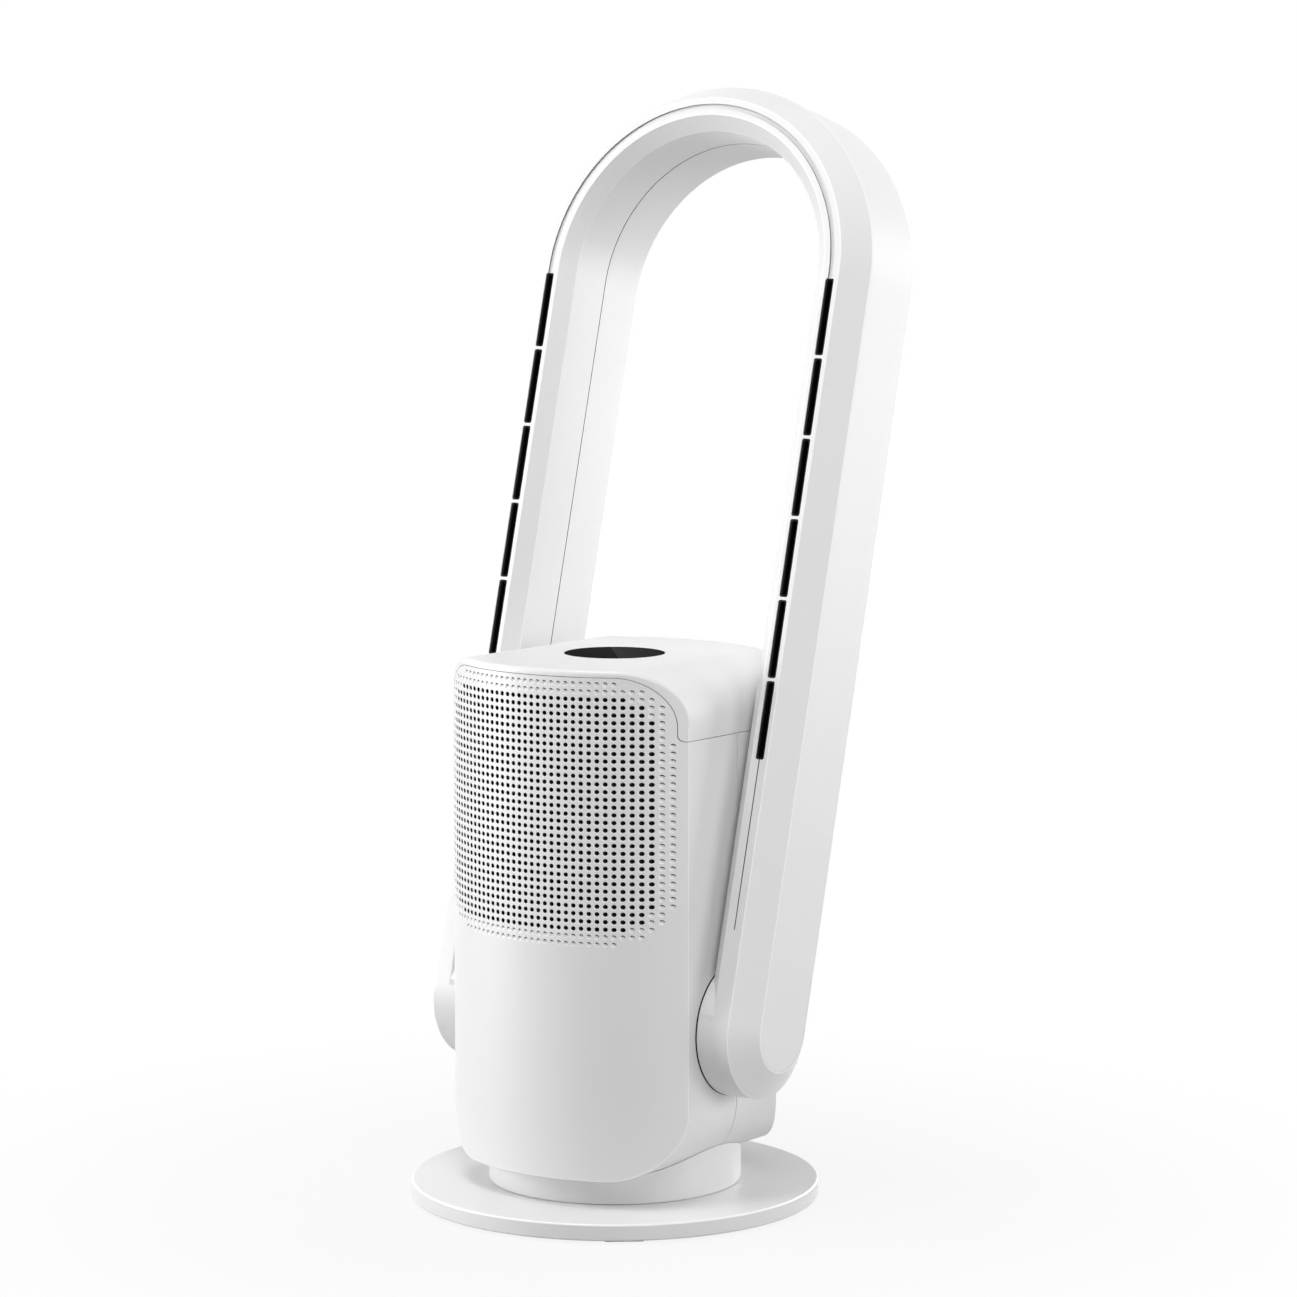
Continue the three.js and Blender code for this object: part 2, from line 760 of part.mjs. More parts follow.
// Body: sockets and lip seals that carry the loop's pivots
const sideInner = bodyHalfWidth - shellWall;
const socketOuterEnd = sideInner - seatGap;
for (const [name, side] of [['left', -1], ['right', 1]]) {
  const socket = turnedAlongX([
    [pivotRadius + runningGap, socketOuterEnd - socketLength],
    [socketRadius, socketOuterEnd - socketLength],
    [socketRadius, socketOuterEnd],
    [pivotRadius + runningGap, socketOuterEnd],
    [pivotRadius + runningGap, socketOuterEnd - socketLength],
  ], side, hubFacets);
  socket.translate(0, hubAxisY, hubAxisZ);
  addMesh(body, `pivot_socket_${name}`, socket, greyPlastic);
  const seal = turnedAlongX([
    [pivotRadius + runningGap, sideInner],
    [socketRadius - seatGap, sideInner],
    [socketRadius - seatGap, bodyHalfWidth],
    [pivotRadius + runningGap, bodyHalfWidth],
    [pivotRadius + runningGap, sideInner],
  ], side, hubFacets);
  seal.translate(0, hubAxisY, hubAxisZ);
  addMesh(body, `pivot_seal_${name}`, seal, darkRubber);
}

// Rear cover with intake slots, and the filter cartridge behind it
const cover = new THREE.Group();
root.add(cover);

const fieldHeight = (grilleRows - 1) * facetWidth + holeSide;
const slotFieldTop = grilleTop + holeSide / 2;
const rearSlotHeight = (fieldHeight - (rearSlotRows - 1) * rearSlotLand) / rearSlotRows;
const rearSlots = [];
for (let row = 0; row < rearSlotRows; row += 1) {
  for (let column = 0; column < grilleColumns; column += 1) {
    const x = (column - (grilleColumns - 1) / 2) * facetWidth;
    const z1 = slotFieldTop - row * (rearSlotHeight + rearSlotLand);
    rearSlots.push(solid(box(
      x - rearSlotWidth / 2,
      x + rearSlotWidth / 2,
      bowEdgeY - shellWall,
      farY,
      z1 - rearSlotHeight,
      z1,
    )));
  }
}
const rearShell = shells
  .intersect(lowSlab(-halfGap, sideSeamY + halfGap, farY).add(panelZone(-halfGap, 1)))
  .subtract(floorOpening)
  .subtract(sideHoles)
  .subtract(joined(rearSlots));
addMesh(cover, 'rear_cover', geometryOf(rearShell), whitePlastic);

const filter = new THREE.Group();
root.add(filter);
const filterBottom = drumTop + seatGap;
const mediaBottom = filterBottom + filterEndThickness + seatGap;
const mediaTop = capSeamZ - filterTopMargin - filterEndThickness - seatGap;
const pleats = Array.from({ length: 2 * filterPleats }, (unused, i) => {
  const radius = filterRadius - (i % 2) * filterPleatDepth;
  const angle = (Math.PI * i) / filterPleats;
  return [radius * Math.cos(angle), radius * Math.sin(angle)];
});
addMesh(filter, 'filter_media', prism(
  pleats,
  mediaBottom,
  mediaTop,
  [circle(0, 0, filterInnerRadius, filterPleats)],
), pleatedPaper);
for (const [name, z0] of [['lower', filterBottom], ['upper', mediaTop + seatGap]]) {
  addMesh(filter, `filter_end_${name}`, closedTurned([
    [filterInnerRadius - filterEndRim, z0],
    [filterRadius + filterEndRim, z0],
    [filterRadius + filterEndRim, z0 + filterEndThickness],
    [filterInnerRadius - filterEndRim, z0 + filterEndThickness],
  ], hubFacets), blackPlastic);
}

// Air loop
const loop = new THREE.Group();
loop.position.set(0, hubAxisY, hubAxisZ);
loop.rotation.x = -loopTiltDegrees * degrees;
root.add(loop);

// The arch's reach upwards at a radius: a half circle inside, a little flatter outside
const archReach = (r) => r - (archFlattening * (r - armInner)) / (armOuter - armInner);

// Carries a section of [radius, depth] up one arm, round the arch and down the other
function arched(section, armStart, facets) {
  const angles = Array.from({ length: facets + 1 }, (unused, i) => (Math.PI * i) / facets);
  const ring = (angle, height) => section.map(([r, y]) => [
    r * Math.cos(angle),
    y,
    height + archReach(r) * Math.sin(angle),
  ]);
  const rings = [
    ring(0, armStart),
    ...angles.map((angle) => ring(angle, archCentreHeight)),
    ring(Math.PI, armStart),
  ];
  const count = section.length;
  const indices = [];
  for (let i = 0; i + 1 < rings.length; i += 1) {
    for (let j = 0; j < count; j += 1) {
      const a = i * count + j;
      const b = i * count + ((j + 1) % count);
      indices.push(a, b, b + count, a, b + count, a + count);
    }
  }
  const flat = section.map(([r, y]) => new THREE.Vector2(r, y));
  const last = (rings.length - 1) * count;
  for (const [p, q, r] of THREE.ShapeUtils.triangulateShape(flat, [])) {
    indices.push(p, r, q, last + p, last + q, last + r);
  }
  const geometry = new THREE.BufferGeometry();
  geometry.setAttribute('position', new THREE.Float32BufferAttribute(rings.flat(2), 3));
  geometry.setIndex(indices);
  return geometry;
}

const armInner = bodyHalfWidth + armGap;
const frontFaceInner = armInner + innerChamferWidth;
const frontFaceOuter = frontFaceInner + frontFaceWidth;
const armOuter = frontFaceOuter + outerChamferWidth;
const innerFlatHalfDepth = armHalfDepth - innerChamferDepth;
const outerFlatHalfDepth = armHalfDepth - outerChamferDepth;
const loopSection = [
  [armInner, -innerFlatHalfDepth],
  [frontFaceInner, -armHalfDepth],
  [frontFaceOuter, -armHalfDepth],
  [armOuter, -outerFlatHalfDepth],
  [armOuter, outerFlatHalfDepth],
  [frontFaceOuter, armHalfDepth],
  [frontFaceInner, armHalfDepth],
  [armInner, innerFlatHalfDepth],
];
const hubStart = bodyHalfWidth + hubGap;
const hubRadius = armHalfDepth;
const hubInner = hubRadius - loopWall;
const coneSlope = (armOuter - frontFaceOuter) / (hubRadius - outerFlatHalfDepth);
const hubOuterProfile = [
  [0, hubStart],
  [hubRadius, hubStart],
  [hubRadius, frontFaceOuter],
  [outerFlatHalfDepth, armOuter],
  [0, armOuter],
];
const hubInnerProfile = [
  [0, hubStart + loopWall],
  [hubInner, hubStart + loopWall],
  [hubInner, frontFaceOuter - loopWall * coneSlope],
  [outerFlatHalfDepth - loopWall, armOuter - loopWall],
  [0, armOuter - loopWall],
];
const bothSides = [-1, 1];
const loopOuter = joined([
  solid(arched(loopSection, 0, archFacets)),
  ...bothSides.map((side) => solid(turnedAlongX(hubOuterProfile, side, hubFacets))),
]);
const loopInner = joined([
  solid(arched(inset(loopSection, loopWall), 0, archFacets)),
  ...bothSides.map((side) => solid(turnedAlongX(hubInnerProfile, side, hubFacets))),
]);
const pivotBores = solid(prismAlongX(
  circle(0, 0, pivotRadius + seatGap, hubFacets),
  -hubStart - loopWall - seatGap,
  hubStart + loopWall + seatGap,
));
const loopShell = loopOuter.subtract(loopInner).subtract(pivotBores);

// The rear half takes the outer flat, so the front half ends at the outer chamfer
const seamStep = armOuter - 2 * loopWall;
const farDepth = armHalfDepth + overrun;
const farOut = armOuter + overrun;
const nearIn = armInner - overrun;
const flatSeam = outerFlatHalfDepth - seatGap;
const rearZone = solid(arched([
  [nearIn, -innerSeamDepth + halfGap],
  [seamStep + halfGap, -innerSeamDepth + halfGap],
  [seamStep + halfGap, -flatSeam],
  [farOut, -flatSeam],
  [farOut, farDepth],
  [nearIn, farDepth],
], -hubRadius, archFacets));
const frontZone = solid(arched([
  [nearIn, -farDepth],
  [farOut, -farDepth],
  [farOut, -flatSeam - seatGap],
  [seamStep - halfGap, -flatSeam - seatGap],
  [seamStep - halfGap, -innerSeamDepth - halfGap],
  [nearIn, -innerSeamDepth - halfGap],
], 0, archFacets));

// A long plate outline with a round lower end about the hub axis
function tonguePlate(halfWidth, top) {
  return [[halfWidth, top], [-halfWidth, top], ...arc(0, 0, halfWidth, 180, 360, hubFacets / 2)];
}

function tonguePlates(halfWidth, depth) {
  const outline = tonguePlate(halfWidth, hubRadius + hubRadius / 2);
  const start = armOuter - depth;
  return solid(prismAlongX(outline, start, farOut)).add(solid(prismAlongX(outline, -farOut, -start)));
}

function hubDiscs(growth) {
  return joined(bothSides.map((side) => solid(turnedAlongX([
    [0, hubStart - overrun],
    [hubRadius + growth, hubStart - overrun],
    [hubRadius + growth, farOut],
    [0, farOut],
  ], side, hubFacets))));
}

const flatTongue = tonguePlates(outerFlatHalfDepth - seatGap, loopWall + halfGap);
const tongueRecess = tonguePlates(outerFlatHalfDepth, loopWall + seatGap);

function slotOutline(halfWidth, halfLength) {
  return roundedOutline(halfWidth, -halfLength, halfLength, slotCorner, slotCorner, slotCornerFacets);
}

const slotCentre = frontFaceInner + frontFaceWidth / 2;
const slotPitch = slotLength + slotLand;
const slotTop = archCentreHeight - slotDrop;
const slotMiddle = (index) => slotTop - slotLength / 2 - index * slotPitch;
const slotCuts = bothSides.flatMap((side) => Array.from({ length: slotCount }, (unused, i) => {
  const outline = slotOutline(slotWidth / 2, slotLength / 2);
  const cut = prismAlongY(outline, -armHalfDepth - overrun, -armHalfDepth + 2 * loopWall);
  cut.translate(side * slotCentre, 0, slotMiddle(i));
  return solid(cut);
}));
const grooveSection = [
  [slotCentre - grooveWidth / 2, -armHalfDepth - overrun],
  [slotCentre + grooveWidth / 2, -armHalfDepth - overrun],
  [slotCentre + grooveWidth / 2, -armHalfDepth + grooveDepth],
  [slotCentre - grooveWidth / 2, -armHalfDepth + grooveDepth],
];
const groove = solid(arched(grooveSection, hubRadius + grooveFootMargin, archFacets));

const frontHalf = loopShell
  .intersect(frontZone.add(hubDiscs(halfGap)))
  .subtract(tongueRecess)
  .subtract(groove)
  .subtract(joined(slotCuts));
addMesh(loop, 'loop_front_shell', geometryOf(frontHalf), whitePlastic);

const rearHalf = loopShell
  .intersect(rearZone)
  .subtract(hubDiscs(seatGap + halfGap))
  .add(loopShell.intersect(flatTongue));
addMesh(loop, 'loop_rear_shell', geometryOf(rearHalf), whitePlastic);

for (const [name, side] of [['left', -1], ['right', 1]]) {
  for (let i = 0; i < slotCount; i += 1) {
    const frame = slotOutline(slotWidth / 2 - seatGap, slotLength / 2 - seatGap);
    const slitHalf = slotLength / 2 - slotCorner - seatGap - nozzleSlit / 2;
    const slit = [
      [nozzleSlit / 2, -slitHalf],
      [nozzleSlit / 2, slitHalf],
      [-nozzleSlit / 2, slitHalf],
      [-nozzleSlit / 2, -slitHalf],
    ];
    const start = armHalfDepth - nozzleRecess - nozzleDepth;
    const nozzle = prism(frame, start, start + nozzleDepth, [slit]);
    nozzle.rotateX(Math.PI / 2);
    nozzle.translate(side * slotCentre, 0, slotMiddle(i));
    addMesh(loop, `nozzle_${name}_${i + 1}`, nozzle, blackPlastic);
  }
  const flangeStart = hubStart + loopWall + seatGap;
  const tubeStart = hubStart - pivotReach;
  const pivot = turnedAlongX([
    [pivotRadius - pivotWall, tubeStart],
    [pivotRadius, tubeStart],
    [pivotRadius, flangeStart],
    [hubInner - pivotFlangeMargin, flangeStart],
    [hubInner - pivotFlangeMargin, flangeStart + pivotFlangeThickness],
    [pivotRadius - pivotWall, flangeStart + pivotFlangeThickness],
    [pivotRadius - pivotWall, tubeStart],
  ], side, hubFacets);
  addMesh(loop, `pivot_tube_${name}`, pivot, greyPlastic);
}

export default root;
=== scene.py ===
"""An air purifier fan with a bladeless air loop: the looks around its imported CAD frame."""

import math

import bmesh
import bpy
import numpy as np
from mathutils import Matrix, Vector

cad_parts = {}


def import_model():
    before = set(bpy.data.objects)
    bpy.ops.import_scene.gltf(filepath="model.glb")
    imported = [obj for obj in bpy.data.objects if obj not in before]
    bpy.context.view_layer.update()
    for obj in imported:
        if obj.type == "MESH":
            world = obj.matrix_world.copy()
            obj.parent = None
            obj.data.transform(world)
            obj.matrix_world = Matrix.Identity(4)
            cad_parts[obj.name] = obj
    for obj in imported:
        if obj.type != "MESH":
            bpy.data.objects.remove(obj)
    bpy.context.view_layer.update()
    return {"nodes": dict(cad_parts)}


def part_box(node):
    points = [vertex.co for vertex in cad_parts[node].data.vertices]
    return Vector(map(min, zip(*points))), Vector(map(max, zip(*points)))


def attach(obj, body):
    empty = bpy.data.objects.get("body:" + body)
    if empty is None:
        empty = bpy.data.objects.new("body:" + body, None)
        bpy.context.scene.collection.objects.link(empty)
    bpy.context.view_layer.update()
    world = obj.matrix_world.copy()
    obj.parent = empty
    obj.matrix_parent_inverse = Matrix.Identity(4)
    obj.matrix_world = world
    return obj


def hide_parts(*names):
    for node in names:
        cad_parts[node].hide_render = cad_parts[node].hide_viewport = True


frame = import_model()

MM = 0.001
TINY = 1e-7
OVERRUN = 4 * MM

# Steps of the round forms
ROUND_STEPS = 192
HUB_STEPS = 96
ARCH_STEPS = 96
CORNER_STEPS = 18
EDGE_STEPS = 4
HOLE_STEPS = 16
FOOT_EDGE_STEPS = 3

# Shading: the sharpest smooth corner in degrees, the weight of large faces, and the distance from
# the bow and the cosine to its normal within which a face's corner takes the bow's own normal
SMOOTH_ANGLE = 32
FACE_WEIGHT = 80
BOW_TOLERANCE = 0.05 * MM
BOW_COSINE = 0.9995

# Body, from the boxes of its shells
CAD_GAP = 0.3 * MM
WALL = 2.5 * MM
CAP_LOW, CAP_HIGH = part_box("top_cap")
SHELL_LOW, SHELL_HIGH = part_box("front_shell")
HALF_WIDTH = CAP_HIGH.x
HALF_DEPTH = CAP_HIGH.y
BODY_TOP = CAP_HIGH.z
BODY_BOTTOM = SHELL_LOW.z
CAP_SEAM_Z = CAP_LOW.z - CAD_GAP / 2
SIDE_SEAM_Y = SHELL_HIGH.y + CAD_GAP / 2
BOW_RISE = 47.34 * MM
BOW_RADIUS = (BOW_RISE**2 + HALF_WIDTH**2) / (2 * BOW_RISE)
BOW_CENTRE = BOW_RADIUS - HALF_DEPTH
BOW_EDGE_Y = HALF_DEPTH - BOW_RISE
LOWER_CORNER = 43 * MM
UPPER_CORNER = 37 * MM
FRONT_EDGE = 1.0 * MM
CAP_EDGE = 3.2 * MM
INNER_EDGE = 0.4 * MM
SEAM = 0.36 * MM
CAP_LIP = 4.8 * MM
CAP_SEAM_FILLET = 4 * MM
BOW_STATIONS = 22

# Grille
HOLE_PITCH = 5 * MM
HOLE_RADIUS = 1.5 * MM
GRILLE_TOP = BODY_TOP - 9.1 * MM
GRILLE_ROWS = 35
MOUTH = 0.32 * MM
MOUTH_SHARE = 1 + MOUTH / HOLE_RADIUS
# Rings of a hole and of a dimple: (share of the hole's radius, depth)
HOLE_RINGS = ((MOUTH_SHARE, -MOUTH), (MOUTH_SHARE, 0), (1, MOUTH), (1, 2 * WALL))
DIMPLE_RINGS = ((1.05, -MOUTH), (1.05, 0), (0.9, 0.4 * MM), (0.45, 0.6 * MM), (0.1, 0.65 * MM))
# Degrees round a pit, from +X upwards: the stretch painted black as shade, and the lowest point
DIMPLE_PAINTED_SHADE = (-10, 140)
LOWEST = 270
# Columns to each side of the middle one: the rows nearest the end first, then the rows between
FIELD_ENDS = (12, 15, 16, 17, 17, 17, 17, 17)
FIELD_LOW_ENDS = (12, 15, 16, 17, 17)
FIELD_HALF = 18
OPEN_ENDS = (-1, -1, 13, 15, 15)
OPEN_HALF = 16
SCREEN_THICKNESS = 0.8 * MM
SCREEN_HALF = (FIELD_HALF - 0.5) * HOLE_PITCH

# Rear intake slots
SLOT_ROWS = 3
SLOT_COLUMNS = 11
SLOT_STEP = 15 * MM
SLOT_LAND = 6 * MM
INTAKE_WIDTH = 7 * MM
INTAKE_HEIGHT = 48.66 * MM
INTAKE_TOP = BODY_TOP - 15.1 * MM

# Hub axis and arched loop
TUBE_LOW, TUBE_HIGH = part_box("pivot_tube_right")
HUB_AXIS = Vector((0, (TUBE_LOW.y + TUBE_HIGH.y) / 2, (TUBE_LOW.z + TUBE_HIGH.z) / 2))
LOOP_TILT = math.radians(14.5)
ARCH_CENTRE = 498.5 * MM
ARCH_FLATTENING = 2.2 * MM
ARM_INNER = HALF_WIDTH + 2.8 * MM
ARM_HALF_DEPTH = 45 * MM
FACE_INNER = ARM_INNER + 9.8 * MM
FACE_OUTER = FACE_INNER + 12.6 * MM
ARM_OUTER = FACE_OUTER + 13 * MM
INNER_FLAT = ARM_HALF_DEPTH - 9 * MM
OUTER_FLAT = ARM_HALF_DEPTH - 19 * MM
INNER_SEAM = 2 * MM
FACE_EDGE = 0.9 * MM
FLAT_EDGE = 1.4 * MM
LOOP_INNER_EDGE = 0.3 * MM
LOOP_SEAM = 0.7 * MM
FLAT_SEAM = 0.12 * MM
HUB_START = HALF_WIDTH + 0.6 * MM
HUB_RADIUS = ARM_HALF_DEPTH
HUB_GAP = 0.2 * MM
HUB_GAP_DEPTH = 1.2 * MM
PIVOT_RADIUS = 28 * MM
SOCKET_RADIUS = 32.9 * MM
FLOOR_OPENING = 47 * MM
# Height of the plates at the outer flats, as a share of the hub's radius
PLATE_SHARE = 1.5
# The loop's section: (radius, depth)
LOOP_SECTION = [
    (ARM_INNER, -INNER_FLAT),
    (FACE_INNER, -ARM_HALF_DEPTH),
    (FACE_OUTER, -ARM_HALF_DEPTH),
    (ARM_OUTER, -OUTER_FLAT),
    (ARM_OUTER, OUTER_FLAT),
    (FACE_OUTER, ARM_HALF_DEPTH),
    (FACE_INNER, ARM_HALF_DEPTH),
    (ARM_INNER, INNER_FLAT),
]

# Outlet slots in the arms' front faces
OUTLET_COUNT = 6
OUTLET_CENTRE = (FACE_INNER + FACE_OUTER) / 2
OUTLET_WIDTH = 6.6 * MM
OUTLET_LENGTH = 52 * MM
OUTLET_PITCH = OUTLET_LENGTH + 1.95 * MM
OUTLET_TOP = ARCH_CENTRE - 2.65 * MM
OUTLET_CORNER = 1.5 * MM
NOZZLE_DEPTH = 6 * MM
NOZZLE_RECESS = 0.6 * MM
NOZZLE_SLIT = 2.2 * MM
NOZZLE_GAP = 0.12 * MM
# The slit's rounding, as a share of its half width
SLIT_ROUND_SHARE = 0.9
# How far the slit's mouth widens, and as shares of that its start before the insert's front and
# its depth behind it
FLARE = 1.2 * MM
FLARE_START_SHARE = 0.5
FLARE_DEPTH_SHARE = 1.6
GROOVE_WIDTH = 0.8 * MM
GROOVE_DEPTH = 0.8 * MM
GROOVE_START = HUB_RADIUS + 17 * MM
CHANNEL_WIDTH = 3.4 * MM
CHANNEL_DEPTH = 1.2 * MM

# Display: the direction across its slanting line, and its tones along that direction, the lighter
# side a painted reflection
GLASS_NORMAL = (0.757, 0.654, 0)
GLASS_REFLECTION_TONES = ((0, 0.001), (0.495, 0.001), (0.505, 0.022), (1, 0.003))
DISPLAY_EDGE = 0.5 * MM

# Stand
BASE_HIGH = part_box("base_shell")[1]
COLLAR_LOW, COLLAR_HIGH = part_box("pedestal_collar")
BASE_RADIUS = BASE_HIGH.x
COLLAR_RADIUS = COLLAR_HIGH.x
BASE_TOP_EDGE = 1.2 * MM
BASE_LOW_EDGE = 1.4 * MM
RACE_DEPTH = 1.2 * MM
RACE_INNER = 61 * MM
POST_RADIUS = 10 * MM
POST_BORE = 6.5 * MM
COLLAR_EDGE = 0.5 * MM
COLLAR_WALL = 3 * MM
COLLAR_LEDGE = 5 * MM
LEDGE_HEIGHT = 1 * MM
FOOT_COUNT = 6
FOOT_WIDTH = 26 * MM
FOOT_DEPTH = 10 * MM
FOOT_CORNER = 2 * MM
FOOT_EDGE = 0.3 * MM
FOOT_RADIUS = BASE_RADIUS - 12.5 * MM
FOOT_START = math.radians(-51)
# A pad's pocket starts this many gaps below the pad
POCKET_GAPS = 5

# Marks of faces: the piece's own look, a painted highlight on rounded edges, painted black shade in
# holes, dimples, recesses and gaps, and painted grey shade in seams and grooves
PLAIN, PAINTED_HIGHLIGHT, PAINTED_BLACK_SHADE, PAINTED_GREY_SHADE = MARKS = range(4)


# Meshes


def build(name, vertices, faces, marks=None):
    """A closed mesh object from points and faces, its faces turned outwards.

    A face's mark is the place of its look: the piece's own, the painted highlight of its rounded
    edges, the painted black shade of its holes and gaps or the painted grey shade of its seams."""
    mesh = bpy.data.meshes.new(name)
    mesh.from_pydata([tuple(v) for v in vertices], [], faces)
    for _ in MARKS:
        mesh.materials.append(None)
    if marks:
        mesh.polygons.foreach_set("material_index", marks)
    shape = bmesh.new()
    shape.from_mesh(mesh)
    bmesh.ops.remove_doubles(shape, verts=shape.verts, dist=TINY)
    bmesh.ops.recalc_face_normals(shape, faces=shape.faces)
    shape.to_mesh(mesh)
    shape.free()
    obj = bpy.data.objects.new(name, mesh)
    bpy.context.scene.collection.objects.link(obj)
    return obj


def rings_to_faces(ring_count, size, closed):
    """Quads between following rings of points."""
    faces = []
    for i in range(ring_count if closed else ring_count - 1):
        a = i * size
        b = ((i + 1) % ring_count) * size
        for j in range(size):
            k = (j + 1) % size
            faces.append((a + j, a + k, b + k, b + j))
    return faces


def arc(cx, cy, radius, start, end, steps):
    """Points along an arc, its angles in degrees."""
    angles = np.radians(np.linspace(start, end, steps + 1))
    return [(cx + radius * math.cos(a), cy + radius * math.sin(a)) for a in angles]


def circle(cx, cy, radius, steps):
    return arc(cx, cy, radius, 0, 360, steps)[:-1]


def rectangle(x, y, half_width, half_height):
    """A rectangle about a middle, anticlockwise from its low left corner."""
    left, right, low, high = x - half_width, x + half_width, y - half_height, y + half_height
    return [(left, low), (right, low), (right, high), (left, high)]


def prism(name, outline, axis, start, end, mark=PLAIN):
    """An outline carried along an axis: (x, y) for Z, (x, z) for Y and (y, z) for X."""
    place = {
        "X": lambda p, d: (d, p[0], p[1]),
        "Y": lambda p, d: (p[0], d, p[1]),
        "Z": lambda p, d: (p[0], p[1], d),
    }[axis]
    count = len(outline)
    vertices = [place(p, d) for d in (start, end) for p in outline]
    faces = rings_to_faces(2, count, False)
    faces += [tuple(range(count)), tuple(range(count, 2 * count))]
    return build(name, vertices, faces, [mark] * len(faces))


def box(name, low, high, mark=PLAIN):
    outline = [(low[0], low[1]), (high[0], low[1]), (high[0], high[1]), (low[0], high[1])]
    return prism(name, outline, "Z", low[2], high[2], mark)


def turned(name, profile, steps, axis="Z", side=1, marks=None):
    """A closed profile of (radius, place along the axis), turned about the axis."""
    vertices = []
    for angle in np.linspace(0, 2 * math.pi, steps, endpoint=False):
        c, s = math.cos(angle), math.sin(angle)
        if axis == "Z":
            vertices += [(r * c, r * s, d) for r, d in profile]
        else:
            vertices += [(side * d, r * c, r * s) for r, d in profile]
    faces = rings_to_faces(steps, len(profile), True)
    return build(name, vertices, faces, marks and list(marks) * steps)


def rounded(points, radii, steps):
    """A closed outline with each corner rounded by its radius."""
    count = len(points)
    result = []
    for i, radius in enumerate(radii):
        corner = Vector(points[i])
        before = (Vector(points[i - 1]) - corner).normalized()
        after = (Vector(points[(i + 1) % count]) - corner).normalized()
        if radius <= 0:
            result.append(tuple(corner))
            continue
        half = before.angle(after) / 2
        reach = radius / math.tan(half)
        centre = corner + (before + after).normalized() * (radius / math.sin(half))
        first = corner + before * reach - centre
        last = corner + after * reach - centre
        turn = math.atan2(first.x * last.y - first.y * last.x, first.dot(last))
        for t in np.linspace(0, turn, steps + 1):
            c, s = math.cos(t), math.sin(t)
            x = centre.x + first.x * c - first.y * s
            y = centre.y + first.x * s + first.y * c
            result.append((x, y))
    return result


def round_marks(radii, steps):
    """The marks of a rounded outline's sides, a painted highlight on the rounded ones."""
    marks = []
    for radius in radii:
        marks += [PAINTED_HIGHLIGHT] * steps + [PLAIN] if radius > 0 else [PLAIN]
    return marks


def near_marks(points, centre, reach):
    """Marks with a painted highlight the sides of a profile that lie within reach of a point."""
    ends = zip(points, points[1:] + points[:1])
    return [PAINTED_HIGHLIGHT if all(math.dist(p, centre) <= reach for p in pair) else PLAIN for pair in ends]


def inset(points, distance):
    """A convex outline, running anticlockwise, moved inwards."""
    count = len(points)
    result = []
    for i in range(count):
        p, a, b = Vector(points[i]), Vector(points[i - 1]), Vector(points[(i + 1) % count])
        u = (p - a).normalized()
        v = (b - p).normalized()
        nu, nv = Vector((-u.y, u.x)), Vector((-v.y, v.x))
        middle = (nu + nv).normalized()
        result.append(tuple(p + middle * (distance / middle.dot(nu))))
    return result


def bake(obj):
    """Turns an object's modifiers into mesh."""
    graph = bpy.context.evaluated_depsgraph_get()
    mesh = bpy.data.meshes.new_from_object(obj.evaluated_get(graph))
    obj.modifiers.clear()
    obj.data = mesh
    mesh.name = obj.name
    return obj


def combine(target, tool, operation):
    """Changes the target by a tool, which goes."""
    modifier = target.modifiers.new("combine", "BOOLEAN")
    modifier.operation = operation
    modifier.solver = "MANIFOLD"
    modifier.object = tool
    bake(target)
    bpy.data.objects.remove(tool)
    return target


def cut(target, *tools):
    for tool in tools:
        combine(target, tool, "DIFFERENCE")
    return target


def keep(target, tool):
    return combine(target, tool, "INTERSECT")


def add(target, *tools):
    for tool in tools:
        combine(target, tool, "UNION")
    return target


def copy_of(obj):
    twin = obj.copy()
    twin.data = obj.data.copy()
    bpy.context.scene.collection.objects.link(twin)
    return twin


def joined(name, parts):
    """Separate closed parts as one object."""
    shape = bmesh.new()
    for part in parts:
        shape.from_mesh(part.data)
        bpy.data.objects.remove(part)
    mesh = bpy.data.meshes.new(name)
    shape.to_mesh(mesh)
    shape.free()
    for _ in MARKS:
        mesh.materials.append(None)
    obj = bpy.data.objects.new(name, mesh)
    bpy.context.scene.collection.objects.link(obj)
    return obj


def smooth(obj):
    """Smooth shading except at sharp corners, led by the larger faces."""
    mesh = obj.data
    mesh.shade_smooth()
    mesh.set_sharp_from_angle(angle=math.radians(SMOOTH_ANGLE))
    modifier = obj.modifiers.new("weighted", "WEIGHTED_NORMAL")
    modifier.keep_sharp = True
    modifier.weight = FACE_WEIGHT
    return bake(obj)


